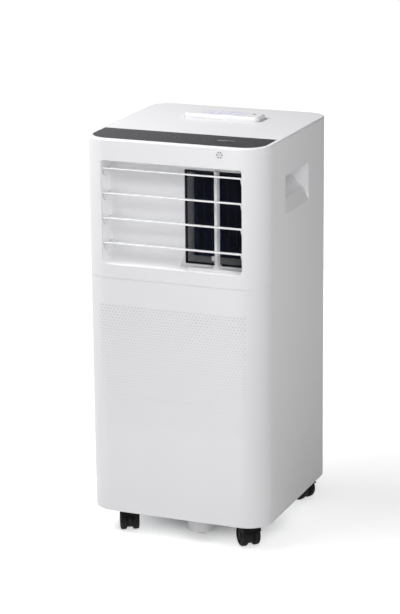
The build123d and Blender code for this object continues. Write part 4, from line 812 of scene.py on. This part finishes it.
# %% [markdown]
# ## Touch marks on the strip
# The control strip has no moving keys. Its touch places are printed under the acrylic: a row of
# thin rings, and all of them only a little lighter than the sheet, as they are when switched off. A
# ring could be a torus, but print is flat: a circle gets a filled face, and an inset whose middle
# is then deleted leaves a rim.

# %% Touch rings
TOUCH_R, TOUCH_RIM, TOUCH_RISE, TOUCH_SIDES = 0.0052, 0.0007, 0.00006, 40
TOUCH_PITCH, TOUCH_COUNT, TOUCH_SHIFT = 0.026, 6, 0.02
strip_low, strip_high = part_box("control_strip")
touch_y = (strip_low.y + strip_high.y) / 2
first_x = -TOUCH_PITCH * (TOUCH_COUNT - 1) / 2 - TOUCH_SHIFT


def printed_ring(name, x, y, z):
    """A thin printed ring, a hair thick."""
    clear_selection()
    bpy.ops.mesh.primitive_circle_add(vertices=TOUCH_SIDES, radius=TOUCH_R, fill_type="NGON",
                                      location=(x, y, z))
    piece = newest(name)
    bpy.ops.object.mode_set(mode="EDIT")
    bpy.ops.mesh.select_all(action="SELECT")
    bpy.ops.mesh.inset(thickness=TOUCH_RIM)
    bpy.ops.mesh.delete(type="FACE")
    bpy.ops.object.mode_set(mode="OBJECT")
    modify(piece, "SOLIDIFY", thickness=TOUCH_RISE, offset=OUTWARDS)
    return piece


rings = printed_ring("touch_rings", first_x, touch_y, strip_high.z)
copied(rings, [(TOUCH_PITCH * index, 0, 0) for index in range(1, TOUCH_COUNT)])
settle(rings, "cabinet", print_grey)
print("touch rings:", TOUCH_COUNT)

# %% [markdown]
# ## The display window
# To the right of the rings, a short bar of darker acrylic covers the display, which is switched
# off. A patch of colour in the strip's material would have soft ends, so it is a block with crisp
# ones. It lies almost flush: all but a fiftieth of a millimetre of it is sunk in the strip.

# %% Display window
DISPLAY_SIZE, DISPLAY_ROUNDING = Vector((0.030, 0.013, 0.00022)), 0.00001
DISPLAY_SINK, DISPLAY_BACK = 0.0002, 0.006
bar_low = Vector((first_x + TOUCH_PITCH * TOUCH_COUNT - DISPLAY_BACK,
                  touch_y - DISPLAY_SIZE.y / 2, strip_high.z - DISPLAY_SINK))
bar = rounded_block("display_window", bar_low, bar_low + DISPLAY_SIZE, DISPLAY_ROUNDING)
settle(bar, "cabinet", display_smoke)
print("display window, mm wide:", DISPLAY_SIZE.x * 1000)

# %% [markdown]
# ## The sensor's grille
# A small hole with a ring of six around it lets room air reach the temperature sensor. Behind the
# holes the inside is dark, but holes this small catch stray light and fade. So each gets a dark
# insert, a painted shadow for the dark inside: a short rod whose front is inset and pushed in,
# which reads as a hole from any side.

# %% Sensor inserts
SENSOR_AT = (0.088, 0.692)
SENSOR_RING, SENSOR_DOTS = 0.0046, 6
INSERT_R, INSERT_L, INSERT_PROUD, INSERT_SIDES = 0.00128, 0.0012, 0.00015, 20
INSERT_RIM, INSERT_SLOPE, INSERT_DEEP = 0.25, 0.15, 0.0005  # rim and slope as shares of the radius


def sensor_insert(name, x, z):
    clear_selection()
    centre_y = FRONT_Y - INSERT_PROUD + INSERT_L / 2
    bpy.ops.mesh.primitive_cylinder_add(vertices=INSERT_SIDES, radius=INSERT_R, depth=INSERT_L,
                                        location=(x, centre_y, z), rotation=(pi / 2, 0, 0))
    piece = newest(name)
    bpy.ops.object.transform_apply(location=True, rotation=True, scale=True)
    bpy.ops.object.mode_set(mode="EDIT")
    pick(piece, "FACE", lambda face: face.normal.y < -FACING)
    bpy.ops.mesh.inset(thickness=INSERT_R * INSERT_RIM)
    bpy.ops.mesh.inset(thickness=INSERT_R * INSERT_SLOPE, depth=-INSERT_DEEP)
    bpy.ops.object.mode_set(mode="OBJECT")
    return piece


turns = [2 * pi * index / SENSOR_DOTS for index in range(SENSOR_DOTS)]
ring = [Vector((SENSOR_RING * cos(angle), 0, SENSOR_RING * sin(angle))) for angle in turns]
inserts = sensor_insert("sensor_inserts", *SENSOR_AT)
copied(inserts, ring)
# the dark inserts are painted shadow that stands in for the holes' dark inside
settle(inserts, "cabinet", smoked_black_and_hole_shadow)
print("sensor inserts:", SENSOR_DOTS + 1)

# %% [markdown]
# ## The guard's tab
# A little white tab on the guard pulls it out for cleaning. The guard is black all over, and two
# colours on one moulding would need its faces sorted, so the tab gets a white cap with rounded
# edges, pushed over it.

# %% Tab cap
TAB_LEFT, TAB_RIGHT, TAB_LOW, TAB_HIGH = 0.0575, 0.0625, 0.5015, 0.5085
CAP_GROW, CAP_DEPTH, CAP_ROUNDING = 0.0003, 0.0044, 0.0008
guard_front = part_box("safety_mesh")[0].y
cap_low = Vector((TAB_LEFT - CAP_GROW, guard_front - CAP_GROW, TAB_LOW - CAP_GROW))
cap_high = Vector((TAB_RIGHT + CAP_GROW, guard_front + CAP_DEPTH, TAB_HIGH + CAP_GROW))
tab_cap = rounded_block("guard_tab_cap", cap_low, cap_high, CAP_ROUNDING)
settle(tab_cap, "cabinet", inner_white_painted_light)
print("tab cap, mm wide:", round((cap_high.x - cap_low.x) * 1000, 2))

# %% [markdown]
# ## The combs on the recess wall
# On the left wall of the recess, just under each slat's end, a short comb of ribs guides the slat
# and lets a little air pass. The gaps could be cut through the wall, but only their darkness shows:
# a dark plate of painted shadow makes the gaps, and one rib is copied along it.

# %% Combs
COMB_FRONT, COMB_REAR, COMB_WALL = -0.1395, -0.1255, -0.126
COMB_H, COMB_DROP, COMB_TEETH = 0.0070, 0.0042, 5
PLATE_T, TOOTH_OUT, TOOTH_T = 0.0003, 0.0011, 0.0013
PLATE_ROUNDING, TOOTH_ROUNDING = 0.4, 0.2  # radius of the edges, as a share of the thickness
SLAT_COUNT = 4
tooth_pitch = (COMB_REAR - COMB_FRONT - TOOTH_T) / (COMB_TEETH - 1)
comb_tops = [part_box(f"slat_{index}")[1].z - COMB_DROP for index in range(1, SLAT_COUNT + 1)]
falls = [(0, 0, top - comb_tops[0]) for top in comb_tops[1:]]
comb_low = (COMB_WALL, COMB_FRONT, comb_tops[0] - COMB_H)
# the dark plates are painted shadow in the gaps between the teeth
plate = rounded_block("comb_shadow_plates", comb_low, (COMB_WALL + PLATE_T, COMB_REAR, comb_tops[0]),
                      PLATE_T * PLATE_ROUNDING)
copied(plate, falls)
settle(plate, "cabinet", comb_gap_shadow)
tooth = rounded_block("comb_teeth", comb_low,
                      (COMB_WALL + TOOTH_OUT, COMB_FRONT + TOOTH_T, comb_tops[0]),
                      TOOTH_T * TOOTH_ROUNDING)
copied(tooth, [(0, tooth_pitch * index, 0) for index in range(1, COMB_TEETH)])
copied(tooth, falls)
settle(tooth, "cabinet", inner_white_painted_light)
print("comb teeth:", COMB_TEETH * len(comb_tops), "pitch, mm:", round(tooth_pitch * 1000, 2))

# %% [markdown]
# ## Floor helpers
# The floor and the backdrop are stage, not part of the appliance, and their white must not light
# it. More light on them would bleach it, so they get a glow that only the eye sees. The Light Path
# node tells rays apart: those from the camera, and those by a gloss or through something clear. A
# length and a soft step will then shape the glow over the floor.

# %% Floor helpers
def length_of(vector):
    return vector.finish.node("ShaderNodeVectorMath", {"operation": "LENGTH"}, [vector],
                              output="Value")


def eased(value, start, end, low, high):
    """Goes smoothly from low to high while the value goes from start to end."""
    return value.finish.node("ShaderNodeMapRange", {"interpolation_type": "SMOOTHSTEP"},
                             [value, start, end, low, high])


def seen_in(finish):
    """1 for a ray from the eye, straight or by a gloss or something clear, and 0 for others."""
    return sum(finish.node("ShaderNodeLightPath", output=f"Is {kind} Ray")
               for kind in ("Camera", "Glossy", "Transmission"))


print("floor helpers ready")

# %% [markdown]
# ## The floor
# The floor is a pale sheet. Its glow grows with the distance from the appliance, so the sheet ends
# in white, and the soft shadow round the castors stays. A patch beneath the casing has no glow, a
# painted shadow where little light gets in, and that dark strip makes the appliance stand on the
# floor. The patch is a circle stretched along X.

# %% Floor
FLOOR_SIZE = 60
PURE_WHITE, PURE_BLACK = (1.0, 1.0, 1.0), (0.0, 0.0, 0.0)
GLOW_NEAR, GLOW_FAR = 0.58, 1.0
GLOW_FROM, GLOW_TO = 0.35, 1.5  # distances between which the glow grows
UNDER_SCALE, UNDER_SHIFT = (0.62, 1.0, 0.0), (0.0, 0.03, 0.0)
UNDER_FROM, UNDER_TO = 0.02, 0.115  # distances along Y between which the dark patch fades out

clear_selection()
bpy.ops.mesh.primitive_plane_add(size=FLOOR_SIZE, location=(0, 0, 0))
floor = newest("floor")
floor_paper = Finish("floor_paper", (0.90, 0.90, 0.90), 0.9, shine=0.0)
point = floor_paper.place()
beneath = floor_paper.node("ShaderNodeVectorMath", {"operation": "MULTIPLY_ADD"},
                           [point, UNDER_SCALE, UNDER_SHIFT])
open_share = eased(length_of(point), GLOW_FROM, GLOW_TO, GLOW_NEAR, GLOW_FAR)
# painted shadow: no glow in a patch beneath the casing
painted_shadow_share = eased(length_of(beneath), UNDER_FROM, UNDER_TO, 0.0, 1.0)
glow = floor_paper.mix(seen_in(floor_paper) * (open_share * painted_shadow_share), PURE_BLACK, PURE_WHITE)
floor_paper.feed(floor_paper.surface.inputs["Emission Color"], glow)
floor_paper.feed(floor_paper.surface.inputs["Emission Strength"], 1.0)
floor.data.materials.append(floor_paper.material)
print("floor glow:", GLOW_NEAR, "near, and", GLOW_FAR, "from", GLOW_TO, "m")

# %% [markdown]
# ## The backdrop
# A ring of paper, far out and low, closes the view where the floor ends. A white sky would do that
# too, but it would show in every gloss on the top. To the camera, and to glossy and clear things,
# the ring is white. All other light passes through it, so the sky still reaches the appliance.

# %% Backdrop
RING_R, RING_H, RING_SIDES = 20.0, 3.8, 96
clear_selection()
bpy.ops.mesh.primitive_cylinder_add(vertices=RING_SIDES, radius=RING_R, depth=RING_H,
                                    end_fill_type="NOTHING", location=(0, 0, RING_H / 2))
backdrop = newest("backdrop")
bpy.ops.object.transform_apply(location=True)
backdrop_paper = Finish("backdrop_paper", (0.9, 0.9, 0.9), 0.9, shine=0.0)
white = backdrop_paper.node("ShaderNodeEmission", inputs=[(*PURE_WHITE, 1), 1.0])
through = backdrop_paper.node("ShaderNodeBsdfTransparent")
shown = seen_in(backdrop_paper).math("MINIMUM", 1.0)
either = backdrop_paper.node("ShaderNodeMixShader", inputs=[shown, through, white])
outlet = backdrop_paper.tree.nodes["Material Output"]
backdrop_paper.feed(outlet.inputs["Surface"], either)
backdrop.data.materials.append(backdrop_paper.material)
print("backdrop radius:", RING_R, "m")

# %% [markdown]
# ## The light
# A white thing needs soft, uneven light, or its faces melt together. Two softboxes stand high on
# the left, the stronger one level with the appliance and the weaker one in front of it, so the top
# is the brightest and the front comes next. A tall narrow one close on the right gives the side its
# slow fall from front to back, and an even sky keeps the shadows open.

# %% Lights
SOFTBOXES = {  # place, target, width and height, all in metres, and power in watts
    "key": ((-1.05, -0.38, 2.02), (-0.07, 0, 0.6), (1.0, 1.0), 28.8),
    "front_key": ((-0.75, -1.05, 1.7), (-0.1, -0.1, 0.55), (0.9, 0.9), 8.9),
    "side_fill": ((0.70, -0.85, 0.95), (0.12, -0.1, 0.5), (0.4, 1.0), 5.7),
}
SKY = 0.11

for name, (place, target, size, power) in SOFTBOXES.items():
    lamp = bpy.data.lights.new(name, "AREA")
    lamp.shape = "RECTANGLE"
    lamp.size, lamp.size_y = size
    lamp.energy = power
    holder = bpy.data.objects.new(name, lamp)
    holder.location = place
    aim = Vector(target) - Vector(place)
    holder.rotation_euler = aim.to_track_quat("-Z", "Y").to_euler()
    bpy.context.scene.collection.objects.link(holder)
sky = bpy.data.worlds.new("sky")
sky.use_nodes = True
sky.node_tree.nodes["Background"].inputs["Color"].default_value = (*PURE_WHITE, 1)
sky.node_tree.nodes["Background"].inputs["Strength"].default_value = SKY
bpy.context.scene.world = sky
bpy.context.scene.view_settings.view_transform = "Standard"
print("softboxes:", len(SOFTBOXES), "sky:", SKY)
